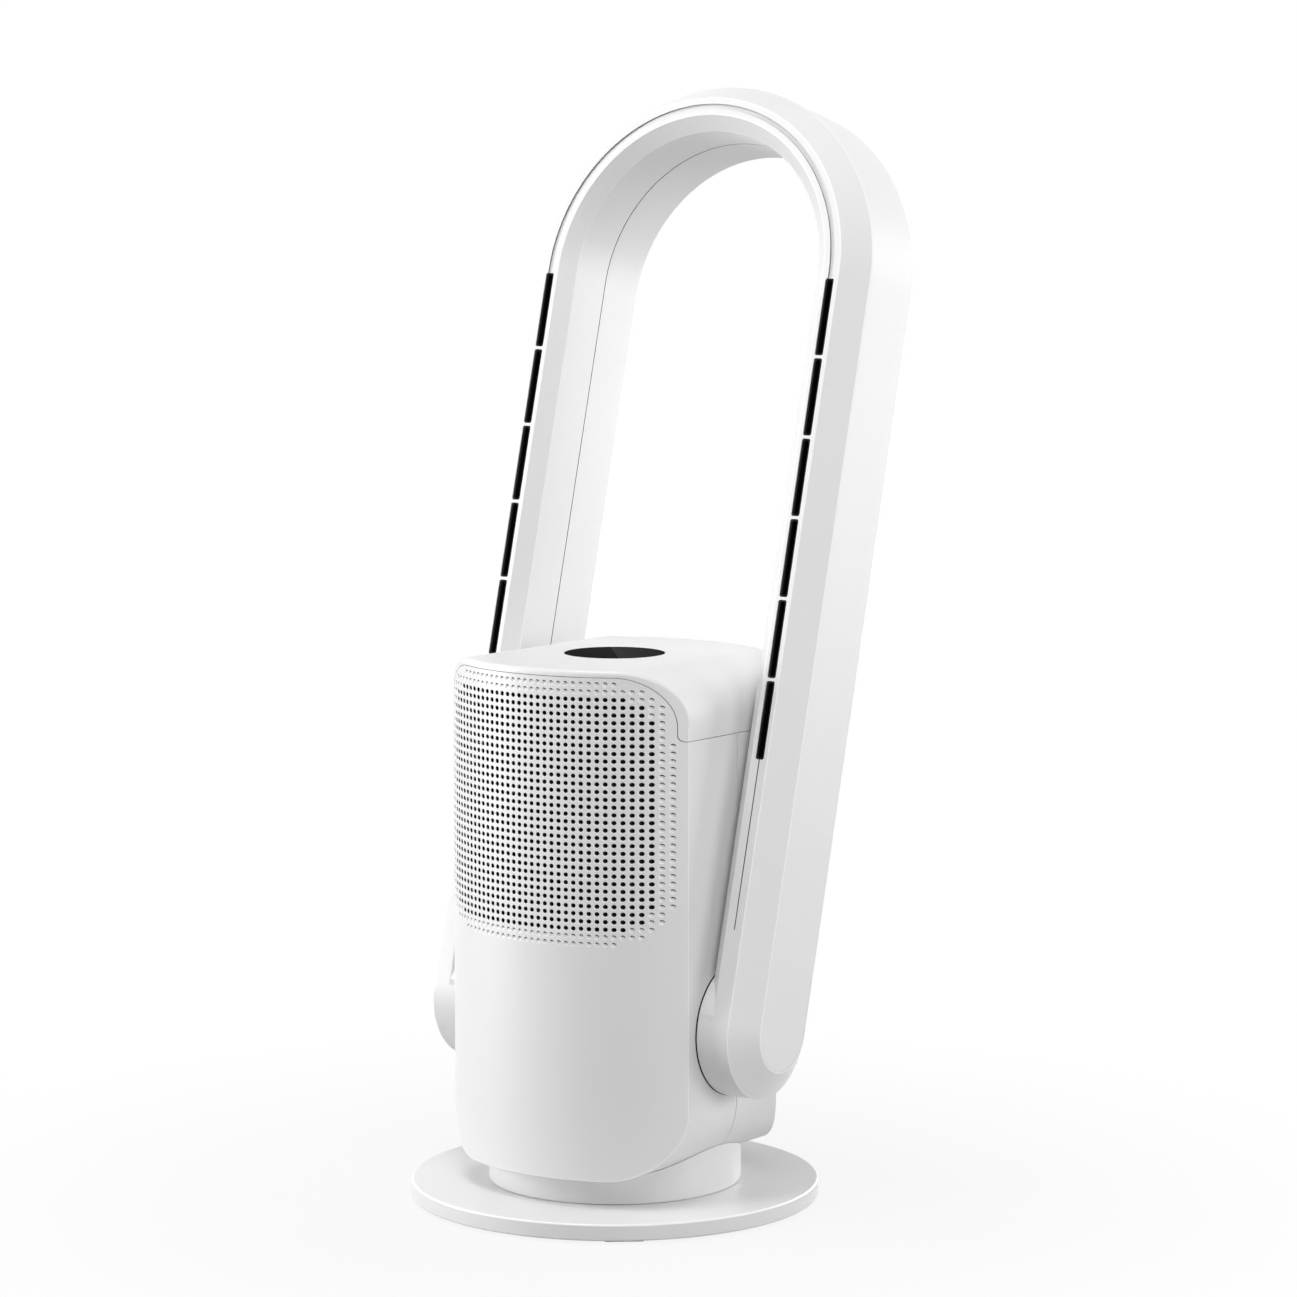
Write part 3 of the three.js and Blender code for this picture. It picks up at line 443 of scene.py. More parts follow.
def bow_normals(obj):
    """Gives the bowed front and rear the normals of a true cylinder."""
    mesh = obj.data
    loops = len(mesh.loops)
    normals = np.empty(loops * 3)
    mesh.corner_normals.foreach_get("vector", normals)
    normals = normals.reshape(-1, 3)
    corners = np.empty(loops, dtype=np.int32)
    mesh.loops.foreach_get("vertex_index", corners)
    points = np.empty(len(mesh.vertices) * 3)
    mesh.vertices.foreach_get("co", points)
    points = points.reshape(-1, 3)[corners]
    face_normals = np.empty(len(mesh.polygons) * 3)
    mesh.polygon_normals.foreach_get("vector", face_normals)
    totals = np.empty(len(mesh.polygons), dtype=np.int32)
    mesh.polygons.foreach_get("loop_total", totals)
    face_normals = np.repeat(face_normals.reshape(-1, 3), totals, axis=0)
    side = np.sign(points[:, 1])
    true = np.stack([points[:, 0], points[:, 1] + side * BOW_CENTRE, np.zeros(loops)], axis=1)
    reach = np.linalg.norm(true, axis=1)
    true /= reach[:, None]
    near = np.abs(reach - BOW_RADIUS) < BOW_TOLERANCE
    aligned = (face_normals * true).sum(axis=1) > BOW_COSINE
    normals[near & aligned] = true[near & aligned]
    mesh.normals_split_custom_set(normals.tolist())
    return obj


# Body form


def bow_y(x, depth):
    """Half depth of the body at x, its surface moved in by depth."""
    return math.sqrt((BOW_RADIUS - depth) ** 2 - x**2) - BOW_CENTRE


def body_form(name, depth, edge, top_edge):
    """The body's rounded block, bowed front and rear, moved in by depth, its long edges rounded."""
    radius = BOW_RADIUS - depth
    straight = np.linspace(0, HALF_WIDTH - LOWER_CORNER, BOW_STATIONS // 2, endpoint=False)
    turns = np.radians(np.linspace(90, 0, CORNER_STEPS + 1))
    centre, bend_radius = HALF_WIDTH - LOWER_CORNER, LOWER_CORNER - depth - edge
    places = list(straight) + [centre + bend_radius * math.cos(t) for t in turns]
    places = [-x for x in places[:0:-1]] + places
    lower, upper = [], []
    for x in places:
        for rows, corner, sign, end, end_edge in (
            (lower, LOWER_CORNER, -1, BODY_BOTTOM + depth, edge),
            (upper, UPPER_CORNER, 1, BODY_TOP - depth, top_edge),
        ):
            bend = max(0, abs(x) - (HALF_WIDTH - corner)) / (corner - depth - edge)
            bend = min(1, bend)
            nx = math.copysign(bend, x)
            nz = math.sqrt(1 - bend**2)
            round_off = edge + (end_edge - edge) * nz
            z = end - sign * (corner - depth) + sign * (corner - depth - round_off) * nz
            y = math.sqrt((radius - round_off) ** 2 - x**2) - BOW_CENTRE
            bow = Vector((x, y + BOW_CENTRE, 0)).normalized()
            side = Vector((nx, 0, sign * nz))
            ring = []
            for step in range(EDGE_STEPS + 1):
                t = step / EDGE_STEPS
                direction = bow.slerp(side, t)
                ring.append(Vector((x, y, z)) + direction * round_off)
            front = [Vector((p.x, -p.y, p.z)) for p in ring]
            rows.append(front + ring[::-1])
    size = len(lower[0])
    count = len(places)
    vertices = [p for row in lower for p in row] + [p for row in upper for p in row]
    top = count * size
    faces, marks = [], []
    # The outer form's rounded edges take a painted highlight.
    mark_of = [PLAIN if depth != 0 or j == EDGE_STEPS else PAINTED_HIGHLIGHT for j in range(size - 1)]
    for k in range(count - 1):
        a, b = k * size, (k + 1) * size
        for j in range(size - 1):
            faces.append((a + j, b + j, b + j + 1, a + j + 1))
            faces.append((top + a + j, top + a + j + 1, top + b + j + 1, top + b + j))
            marks += [mark_of[j], PLAIN]
        for j in (0, size - 1):
            faces.append((a + j, b + j, top + b + j, top + a + j))
            marks.append(PLAIN)
    for k in (0, count - 1):
        a = k * size
        for j in range(size - 1):
            faces.append((a + j, a + j + 1, top + a + j + 1, top + a + j))
            marks.append(mark_of[j])
    return build(name, vertices, faces, marks)


def body_shell(name):
    inside = body_form("inside", WALL, INNER_EDGE, INNER_EDGE)
    return cut(body_form(name, 0, FRONT_EDGE, CAP_EDGE), inside)


def tongue_zone(name, growth, side, mark=PLAIN):
    """The part of the front or rear that rises between the cap's lips."""
    half = HALF_WIDTH - CAP_LIP
    foot = CAP_SEAM_Z + growth
    fillet = CAP_SEAM_FILLET
    corner = UPPER_CORNER - CAP_LIP
    right = arc(half + growth + fillet, foot + fillet, fillet, 270, 180, EDGE_STEPS * 2)
    right += arc(half - corner, BODY_TOP - CAP_LIP - corner, corner + growth, 0, 90, CORNER_STEPS * 2)
    left = [(-x, z) for x, z in reversed(right)]
    floor = BODY_BOTTOM - OVERRUN
    wide = HALF_WIDTH + fillet + OVERRUN
    outline = [(wide, floor), (wide, foot)] + right + left + [(-wide, foot), (-wide, floor)]
    far = HALF_DEPTH + OVERRUN
    return prism(name, outline, "Y", *sorted((side * BOW_EDGE_Y, side * far)), mark)


def low_zone(name, y0, y1, growth, mark=PLAIN):
    wide = HALF_WIDTH + OVERRUN
    return box(name, (-wide, y0, BODY_BOTTOM - OVERRUN), (wide, y1, CAP_SEAM_Z + growth), mark)


def side_holes(name):
    wide = HALF_WIDTH + OVERRUN
    return prism(name, circle(HUB_AXIS.y, HUB_AXIS.z, SOCKET_RADIUS, HUB_STEPS), "X", -wide, wide)


def hub_recesses():
    """Shallow grooves in the sides, round the rims of the hubs, painted black as shade."""
    start, far = HALF_WIDTH - HUB_GAP_DEPTH, HALF_WIDTH + OVERRUN
    inner, outer = HUB_RADIUS - HUB_GAP_DEPTH, HUB_RADIUS + HUB_GAP
    profile = [(inner, start), (outer, start), (outer, far), (inner, far)]
    grooves = [turned("recess", profile, HUB_STEPS, "X", s, [PAINTED_BLACK_SHADE] * 4) for s in (-1, 1)]
    for groove in grooves:
        groove.data.transform(Matrix.Translation(HUB_AXIS))
    return grooves


def floor_opening(name):
    low = BODY_BOTTOM - OVERRUN
    return prism(name, circle(0, 0, FLOOR_OPENING, HUB_STEPS), "Z", low, low + OVERRUN + 2 * WALL)


def row_half(row, high_ends, low_ends, middle):
    """Columns to each side of the middle one in a row."""
    if row < len(high_ends):
        return high_ends[row]
    if GRILLE_ROWS - 1 - row < len(low_ends):
        return low_ends[GRILLE_ROWS - 1 - row]
    return middle


def hole_mark(ring, turn):
    """The wall of a hole: a painted highlight at its mouth, and painted black shade inside."""
    return PAINTED_HIGHLIGHT if ring < 2 else PAINTED_BLACK_SHADE


def dimple_mark(ring, turn):
    """The bowl of a dimple: painted black shade under its upper edge, a painted highlight on its
    lower wall.
    """
    low, high = DIMPLE_PAINTED_SHADE
    if 1 <= ring <= 2 and low < turn < high:
        return PAINTED_BLACK_SHADE
    return PAINTED_HIGHLIGHT if ring == 1 else PLAIN


def grille_cutters():
    """Round holes through the front, and shallow dimples round them."""
    through, blind = [], []
    for row in range(GRILLE_ROWS):
        z = GRILLE_TOP - row * HOLE_PITCH
        half = row_half(row, FIELD_ENDS, FIELD_LOW_ENDS, FIELD_HALF)
        open_half = row_half(row, OPEN_ENDS, OPEN_ENDS, OPEN_HALF)
        for column in range(-half, half + 1):
            place = (column * HOLE_PITCH, z)
            (through if abs(column) <= open_half else blind).append(place)
    return [
        pits("through", through, HOLE_RINGS, hole_mark),
        pits("blind", blind, DIMPLE_RINGS, dimple_mark),
    ]


def pits(name, places, rings, mark_of):
    """Round pits into the bowed front, each of the same rings, as one mesh."""
    angles = np.linspace(0, 360, HOLE_STEPS, endpoint=False)
    turns = [(HOLE_RADIUS * math.cos(a), HOLE_RADIUS * math.sin(a)) for a in np.radians(angles)]
    half_step = 180 / HOLE_STEPS
    pit_marks = []
    for ring in range(len(rings) - 1):
        for angle in angles + half_step:
            turn = angle - 360 if angle > LOWEST else angle
            pit_marks.append(mark_of(ring, turn))
    pit_marks += [mark_of(0, LOWEST), mark_of(len(rings) - 1, LOWEST)]
    vertices, faces = [], []
    for x, z in places:
        first = len(vertices)
        for share, depth in rings:
            for dx, dz in turns:
                px = x + share * dx
                vertices.append((px, -bow_y(px, depth), z + share * dz))
        for face in rings_to_faces(len(rings), HOLE_STEPS, False):
            faces.append(tuple(first + i for i in face))
        last = len(vertices) - HOLE_STEPS
        faces += [tuple(range(first, first + HOLE_STEPS)), tuple(range(last, last + HOLE_STEPS))]
    return build(name, vertices, faces, pit_marks * len(places))


def cylinders(name, places, start):
    """Many outlines carried along Y from one start, each to its own end, as one mesh."""
    vertices, faces = [], []
    for outline, end in places:
        first = len(vertices)
        count = len(outline)
        vertices += [(x, y, z) for y in (start, end) for x, z in outline]
        faces += [tuple(first + i for i in face) for face in rings_to_faces(2, count, False)]
        middle, last = first + count, first + 2 * count
        faces += [tuple(range(first, middle)), tuple(range(middle, last))]
    return build(name, vertices, faces)


def front_panel():
    # The cut faces at the seams are painted grey as shade.
    zone = low_zone("zone", -HALF_DEPTH - OVERRUN, SIDE_SEAM_Y - SEAM / 2, -SEAM / 2, PAINTED_GREY_SHADE)
    zone = add(zone, tongue_zone("tongue", -SEAM / 2, -1, PAINTED_GREY_SHADE))
    panel = keep(body_shell("front_panel"), zone)
    cut(panel, floor_opening("opening"), side_holes("holes"), *hub_recesses(), *grille_cutters())
    return bow_normals(smooth(panel))


def rear_panel():
    zone = low_zone("zone", SIDE_SEAM_Y + SEAM / 2, HALF_DEPTH + OVERRUN, -SEAM / 2)
    zone = add(zone, tongue_zone("tongue", -SEAM / 2, 1))
    panel = keep(body_shell("rear_panel"), zone)
    slots = []
    half, tall = INTAKE_WIDTH / 2, INTAKE_HEIGHT / 2
    for row in range(SLOT_ROWS):
        z = INTAKE_TOP - tall - row * (INTAKE_HEIGHT + SLOT_LAND)
        for column in range(SLOT_COLUMNS):
            x = (column - (SLOT_COLUMNS - 1) / 2) * SLOT_STEP
            upper = arc(x, z + tall - half, half, 0, 180, CORNER_STEPS)
            lower = arc(x, z - tall + half, half, 180, 360, CORNER_STEPS)
            slots.append((upper + lower, bow_y(x, 0) - 4 * WALL))
    cut(panel, floor_opening("opening"), side_holes("holes"), *hub_recesses())
    cut(panel, cylinders("slots", slots, HALF_DEPTH + OVERRUN))
    return bow_normals(smooth(panel))


def top_cover():
    cover = body_shell("cap_cover")
    far = HALF_DEPTH + OVERRUN
    # The cut faces at the lower seam and round the front tongue are painted grey as shade.
    cut(cover, low_zone("zone", -far, far, SEAM / 2, PAINTED_GREY_SHADE))
    cut(cover, tongue_zone("front", SEAM / 2, -1, PAINTED_GREY_SHADE), tongue_zone("rear", SEAM / 2, 1))
    lens_low, lens_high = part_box("display_lens")
    pocket = circle(0, 0, lens_high.x + SEAM, ROUND_STEPS)
    cut(cover, prism("pocket", pocket, "Z", lens_low.z - CAD_GAP, BODY_TOP + OVERRUN))
    return bow_normals(smooth(cover))


def grille_shade_sheet():
    """A black sheet behind the grille, put there as the shade seen through its holes."""
    depth = WALL + CAD_GAP
    sheet = body_form("grille_shade_sheet", depth, INNER_EDGE, INNER_EDGE)
    cut(sheet, body_form("inside", depth + SCREEN_THICKNESS, INNER_EDGE, INNER_EDGE))
    low = GRILLE_TOP - (GRILLE_ROWS - 1) * HOLE_PITCH
    keep(sheet, box("zone", (-SCREEN_HALF, -HALF_DEPTH, low), (SCREEN_HALF, -BOW_EDGE_Y, GRILLE_TOP)))
    return smooth(sheet)


# Stand and display


def base_cover():
    """The stand's round shell."""
    top = BASE_HIGH.z
    rim_top = COLLAR_LOW.z - CAD_GAP
    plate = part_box("weight_plate")[1].x + CAD_GAP
    race_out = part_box("race_ring")[1].x + CAD_GAP
    race_in = RACE_INNER - CAD_GAP
    groove = rim_top - RACE_DEPTH
    edge = (BASE_RADIUS - BASE_TOP_EDGE, rim_top - BASE_TOP_EDGE)
    profile = [(plate, 0)]
    profile += arc(BASE_RADIUS - BASE_LOW_EDGE, BASE_LOW_EDGE, BASE_LOW_EDGE, -90, 0, EDGE_STEPS * 2)
    profile += arc(*edge, BASE_TOP_EDGE, 0, 90, EDGE_STEPS * 2)
    profile += [
        (race_out, rim_top),
        (race_out, groove),
        (race_in, groove),
        (race_in, rim_top),
        (POST_RADIUS, rim_top),
        (POST_RADIUS, top),
        (POST_BORE, top),
        (POST_BORE, rim_top - WALL),
        (BASE_RADIUS - WALL, rim_top - WALL),
        (BASE_RADIUS - WALL, WALL),
        (plate, WALL),
    ]
    # The rounded top edge takes a painted highlight.
    marks = near_marks(profile, edge, BASE_TOP_EDGE + TINY)
    base = turned("base_cover", profile, ROUND_STEPS, marks=marks)
    for index in range(1, FOOT_COUNT + 1):
        cut(base, rounded_foot("pocket", *foot_frame(index), CAD_GAP))
    inlet_low, inlet_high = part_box("power_inlet")
    hole = circle(0, (inlet_low.z + inlet_high.z) / 2, inlet_high.x + CAD_GAP, HUB_STEPS // 2)
    cut(base, prism("hole", hole, "Y", inlet_low.y, BASE_RADIUS + OVERRUN))
    return smooth(base)


def foot_frame(index):
    """A pad's angle round the stand, and the heights of its ends."""
    low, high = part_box(f"foot_{index}")
    return FOOT_START + (index - 1) * 2 * math.pi / FOOT_COUNT, (low.z, high.z)


def rounded_foot(name, angle, heights, growth):
    """A pad with rounded corners, at its place round the stand."""
    corners = rectangle(FOOT_RADIUS, 0, FOOT_DEPTH / 2 + growth, FOOT_WIDTH / 2 + growth)
    outline = rounded(corners, [FOOT_CORNER] * 4, EDGE_STEPS)
    low, high = heights
    foot = prism(name, outline, "Z", low - POCKET_GAPS * growth, high + growth)
    foot.data.transform(Matrix.Rotation(angle, 4, "Z"))
    return foot


def rubber_foot(index):
    angle, heights = foot_frame(index)
    foot = rounded_foot(f"foot_pad_{index}", angle, heights, 0)
    modifier = foot.modifiers.new("edge", "BEVEL")
    modifier.width = FOOT_EDGE
    modifier.segments = FOOT_EDGE_STEPS
    modifier.limit_method = "ANGLE"
    return smooth(bake(foot))


def collar():
    """The pedestal, its top fitted to the rounded underside."""
    low = COLLAR_LOW.z
    inner = COLLAR_RADIUS - COLLAR_WALL
    ledge = inner - COLLAR_LEDGE
    ledge_top = low + LEDGE_HEIGHT
    top = BODY_BOTTOM + LOWER_CORNER
    profile = [(ledge, low)]
    edge = (COLLAR_RADIUS - COLLAR_EDGE, low + COLLAR_EDGE)
    profile += arc(*edge, COLLAR_EDGE, -90, 0, EDGE_STEPS)
    profile += [(COLLAR_RADIUS, top), (inner, top), (inner, ledge_top), (ledge, ledge_top)]
    # The rounded foot edge takes a painted highlight.
    marks = near_marks(profile, edge, COLLAR_EDGE + TINY)
    shape = turned("collar", profile, ROUND_STEPS, marks=marks)
    cut(shape, body_form("body", -CAD_GAP, FRONT_EDGE, FRONT_EDGE))
    return smooth(shape)


def display():
    """The black display disc, its upper edge rounded."""
    low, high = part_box("display_lens")
    profile = [(0, low.z), (high.x, low.z)]
    profile += arc(high.x - DISPLAY_EDGE, high.z - DISPLAY_EDGE, DISPLAY_EDGE, 0, 90, EDGE_STEPS)
    profile += [(0, high.z)]
    return smooth(turned("display", profile, ROUND_STEPS))


# Air loop, in its own frame: the hub axis through the origin and Z up the arms


def loop_place(obj):
    obj.data.transform(Matrix.Translation(HUB_AXIS) @ Matrix.Rotation(-LOOP_TILT, 4, "X"))
    return obj


def arch_reach(radius):
    """The arch's reach upwards: half round inside and a little flatter outside."""
    return radius - ARCH_FLATTENING * (radius - ARM_INNER) / (ARM_OUTER - ARM_INNER)


def arched(name, section, start, marks=None):
    """A section of (radius, depth) carried up one arm, round the arch and down the other."""
    rings = [(0.0, start)]
    rings += [(a, ARCH_CENTRE) for a in np.linspace(0, math.pi, ARCH_STEPS + 1)]
    rings += [(math.pi, start)]
    vertices = []
    for angle, height in rings:
        c, s = math.cos(angle), math.sin(angle)
        vertices += [(r * c, y, height + arch_reach(r) * s) for r, y in section]
    count = len(section)
    faces = rings_to_faces(len(rings), count, False)
    last = (len(rings) - 1) * count
    faces += [tuple(range(count)), tuple(range(last, last + count))]
    marks = marks and list(marks) * (len(rings) - 1) + [PLAIN] * 2
    return build(name, vertices, faces, marks)


def loop_form(name, depth, face_edge, flat_edge):
    """Arms, arch and hubs as one solid, moved in by depth."""
    corners = inset(LOOP_SECTION, depth)
    front = [face_edge] * 3 + [flat_edge]
    radii = front + front[::-1]
    section = rounded(corners, radii, EDGE_STEPS)
    # Rounded edges take a painted highlight.
    form = arched(name, section, 0, round_marks(radii, EDGE_STEPS))
    start = HUB_START + depth
    flat = corners[3][1]
    hub = [
        (0, start),
        (HUB_RADIUS - depth, start),
        (HUB_RADIUS - depth, corners[2][0]),
        (-flat, corners[3][0]),
        (0, corners[3][0]),
    ]
    radii = [0, face_edge, face_edge, flat_edge, 0]
    profile = rounded(hub, radii, EDGE_STEPS)
    for side in (-1, 1):
        add(form, turned("hub", profile, HUB_STEPS, "X", side, round_marks(radii, EDGE_STEPS)))
    return form


def loop_shell(name):
    inside = loop_form("inside", WALL, LOOP_INNER_EDGE, LOOP_INNER_EDGE)
    shell = cut(loop_form(name, 0, FACE_EDGE, FLAT_EDGE), inside)
    bore = HUB_START + 2 * WALL
    outline = circle(0, 0, PIVOT_RADIUS + CAD_GAP, HUB_STEPS)
    return cut(shell, prism("bore", outline, "X", -bore, bore))


def hub_discs(growth):
    far = ARM_OUTER + OVERRUN
    near = HUB_START - OVERRUN
    profile = [(0, near), (HUB_RADIUS + growth, near), (HUB_RADIUS + growth, far), (0, far)]
    return joined("discs", [turned("disc", profile, HUB_STEPS, "X", side) for side in (-1, 1)])


def tongue_plates(half, depth):
    """Round-ended plates at the outer flats, about the hub axis."""
    top = PLATE_SHARE * HUB_RADIUS
    outline = [(half, top), (-half, top)] + arc(0, 0, half, 180, 360, HUB_STEPS // 2)
    start, far = ARM_OUTER - depth, ARM_OUTER + OVERRUN
    ends = [sorted((side * start, side * far)) for side in (-1, 1)]
    return joined("plates", [prism("plate", outline, "X", *pair) for pair in ends])


def loop_rear_zone():
    step = ARM_OUTER - 2 * WALL
    far_depth = ARM_HALF_DEPTH + OVERRUN
    far = ARM_OUTER + OVERRUN
    near = ARM_INNER - OVERRUN
    flat = OUTER_FLAT - FLAT_EDGE
    seam = INNER_SEAM - LOOP_SEAM / 2
    section = [(near, -seam), (step, -seam), (step, -flat)]
    section += [(far, -flat), (far, far_depth), (near, far_depth)]
    # The inner seam's face is painted black as shade.
    return arched("zone", section, -HUB_RADIUS, [PAINTED_BLACK_SHADE] + [PLAIN] * 5)


def loop_front_zone():
    step = ARM_OUTER - 2 * WALL - CAD_GAP
    far_depth = ARM_HALF_DEPTH + OVERRUN
    far = ARM_OUTER + OVERRUN
    near = ARM_INNER - OVERRUN
    flat = OUTER_FLAT - FLAT_EDGE + FLAT_SEAM
    seam = INNER_SEAM + LOOP_SEAM / 2
    section = [(near, -far_depth), (far, -far_depth), (far, -flat)]
    section += [(step, -flat), (step, -seam), (near, -seam)]
    # The inner seam's face is painted black as shade.
    return arched("zone", section, 0, [PLAIN] * 4 + [PAINTED_BLACK_SHADE, PLAIN])


def outlet_middle(index):
    return OUTLET_TOP - OUTLET_LENGTH / 2 - index * OUTLET_PITCH


def outlet_outline(side, index, growth):
    half = OUTLET_WIDTH / 2 + growth
    tall = OUTLET_LENGTH / 2 + growth
    corners = rectangle(side * OUTLET_CENTRE, outlet_middle(index), half, tall)
    return rounded(corners, [OUTLET_CORNER] * 4, EDGE_STEPS)


def face_groove(name, width, depth, start):
    """A groove along the middle of the front face, up from its start and round the arch."""
    half = width / 2
    floor, near = -ARM_HALF_DEPTH + depth, -ARM_HALF_DEPTH - OVERRUN
    left, right = OUTLET_CENTRE - half, OUTLET_CENTRE + half
    section = [(left, near), (right, near), (right, floor), (left, floor)]
    # The channel's walls are painted grey as shade.
    return arched(name, section, start, [PLAIN, PAINTED_GREY_SHADE, PLAIN, PAINTED_GREY_SHADE])


def low_grooves():
    """The narrow grooves below the slots, painted grey as shade."""
    half = GROOVE_WIDTH / 2
    low, high = GROOVE_START, outlet_middle(OUTLET_COUNT - 1)
    floor, near = -ARM_HALF_DEPTH + GROOVE_DEPTH, -ARM_HALF_DEPTH - OVERRUN
    bars = []
    for x in (-OUTLET_CENTRE, OUTLET_CENTRE):
        outline = [(x - half, near), (x + half, near), (x + half, floor), (x - half, floor)]
        bars.append(prism("bar", outline, "Z", low, high, PAINTED_GREY_SHADE))
    return joined("low_grooves", bars)


def loop_front():
    front = loop_shell("loop_front")
    keep(front, add(loop_front_zone(), hub_discs(FLAT_SEAM / 2)))
    cut(front, tongue_plates(OUTER_FLAT - FLAT_EDGE + FLAT_SEAM, WALL + CAD_GAP))
    near = -ARM_HALF_DEPTH - OVERRUN
    far = -ARM_HALF_DEPTH + 2 * WALL
    cut(front, face_groove("channel", CHANNEL_WIDTH, CHANNEL_DEPTH, outlet_middle(0)), low_grooves())
    places = [(side, i) for side in (-1, 1) for i in range(OUTLET_COUNT)]
    outlines = [(outlet_outline(side, i, 0), far) for side, i in places]
    cut(front, cylinders("outlets", outlines, near))
    return loop_place(smooth(front))


def loop_rear():
    rear = loop_shell("loop_rear")
    tongue = keep(copy_of(rear), tongue_plates(OUTER_FLAT - FLAT_EDGE, WALL + CAD_GAP / 2))
    keep(rear, loop_rear_zone())
    cut(rear, hub_discs(FLAT_SEAM * 1.5))
    add(rear, tongue)
    return loop_place(smooth(rear))


def nozzle(name, side, index):
    """A black slot insert with an open slit, set a little into the front face."""
    front = -ARM_HALF_DEPTH + NOZZLE_RECESS
    outline = outlet_outline(side, index, -NOZZLE_GAP)
    insert = prism(name, outline, "Y", front, front + NOZZLE_DEPTH)
    x, z = side * OUTLET_CENTRE, outlet_middle(index)
    half = NOZZLE_SLIT / 2
    tall = OUTLET_LENGTH / 2 - OUTLET_CORNER - CAD_GAP
    corners = rectangle(x, z, half, tall)
    outwards = rectangle(0, 0, 1, 1)
    wide = [(px + FLARE * a, pz + FLARE * b) for (px, pz), (a, b) in zip(corners, outwards)]
    round_off = half * SLIT_ROUND_SHARE
    slit = rounded(corners, [round_off] * 4, EDGE_STEPS)
    mouth = rounded(wide, [round_off + FLARE] * 4, EDGE_STEPS)
    far = front + NOZZLE_DEPTH + OVERRUN
    vertices = [(p[0], front - FLARE * FLARE_START_SHARE, p[1]) for p in mouth]
    vertices += [(p[0], front + FLARE * FLARE_DEPTH_SHARE, p[1]) for p in slit]
    vertices += [(p[0], far, p[1]) for p in slit]
    count = len(slit)
    faces = rings_to_faces(3, count, False)
    faces += [tuple(range(count)), tuple(range(2 * count, 3 * count))]
    cut(insert, build("slit", vertices, faces))
    return loop_place(smooth(insert))


# Materials
FINE_DETAIL = 3
BUMP_STRENGTH = 0.25
BROAD_SCALE = 14
BROAD_DETAIL = 4


def material(name, colour, roughness, **inputs):
    """A principled material with its constant values on the shader's own sockets."""
    look = bpy.data.materials.new(name)
    look.use_nodes = True
    shader = look.node_tree.nodes["Principled BSDF"]
    shader.inputs["Base Color"].default_value = (*colour, 1)
    shader.inputs["Roughness"].default_value = roughness
    for socket, value in inputs.items():
        shader.inputs[socket.replace("_", " ")].default_value = value
    return look


def grain(look, scale, depth, tones=None, roughness=None):
    """Moulded grain: fine bumps, with slight changes of tone and gloss over the surface."""
    tree = look.node_tree
    nodes, links = tree.nodes, tree.links
    shader = nodes["Principled BSDF"]
    place = nodes.new("ShaderNodeTexCoord")
    fine = nodes.new("ShaderNodeTexNoise")
    fine.inputs["Scale"].default_value = scale
    fine.inputs["Detail"].default_value = FINE_DETAIL
    links.new(place.outputs["Object"], fine.inputs["Vector"])
    bump = nodes.new("ShaderNodeBump")
    bump.inputs["Strength"].default_value = BUMP_STRENGTH
    bump.inputs["Distance"].default_value = depth
    links.new(fine.outputs["Fac"], bump.inputs["Height"])
    links.new(bump.outputs["Normal"], shader.inputs["Normal"])
    broad = nodes.new("ShaderNodeTexNoise")
    broad.inputs["Scale"].default_value = BROAD_SCALE
    broad.inputs["Detail"].default_value = BROAD_DETAIL
    links.new(place.outputs["Object"], broad.inputs["Vector"])
    if tones:
        ramp = nodes.new("ShaderNodeMix")
        ramp.data_type = "RGBA"
        ramp.inputs[6].default_value = (*tones[0], 1)
        ramp.inputs[7].default_value = (*tones[1], 1)
        links.new(broad.outputs["Fac"], ramp.inputs[0])
        links.new(ramp.outputs[2], shader.inputs["Base Color"])
    if roughness:
        spread = nodes.new("ShaderNodeMapRange")
        spread.inputs["To Min"].default_value = roughness[0]
        spread.inputs["To Max"].default_value = roughness[1]
        links.new(broad.outputs["Fac"], spread.inputs["Value"])
        links.new(spread.outputs["Result"], shader.inputs["Roughness"])
    return look


def grey(value):
    return (value, value, value)


def white_plastic():
    look = material("white_satin", grey(0.72), 0.4, Specular_IOR_Level=0.6)
    return grain(look, 2600, 0.02 * MM, (grey(0.71), grey(0.73)), (0.37, 0.43))


# A lighter, glossier white for rounded edges: a painted highlight.
def white_painted_highlight():
    look = material("white_painted_highlight", grey(0.86), 0.3, Specular_IOR_Level=0.5)
    return grain(look, 2600, 0.01 * MM, (grey(0.85), grey(0.87)), (0.27, 0.33))


# A mid grey for the faces of white parts' seams and grooves: painted shade.
def painted_seam_shade():
    look = material("painted_seam_shade", grey(0.2), 0.6, Specular_IOR_Level=0.2)
    return grain(look, 2600, 0.01 * MM, (grey(0.19), grey(0.21)), (0.55, 0.65))


def black_gloss():
    look = material("black_gloss", grey(0.004), 0.08, Specular_IOR_Level=0.3)
    return grain(look, 900, 0.002 * MM, (grey(0.0035), grey(0.005)), (0.06, 0.1))


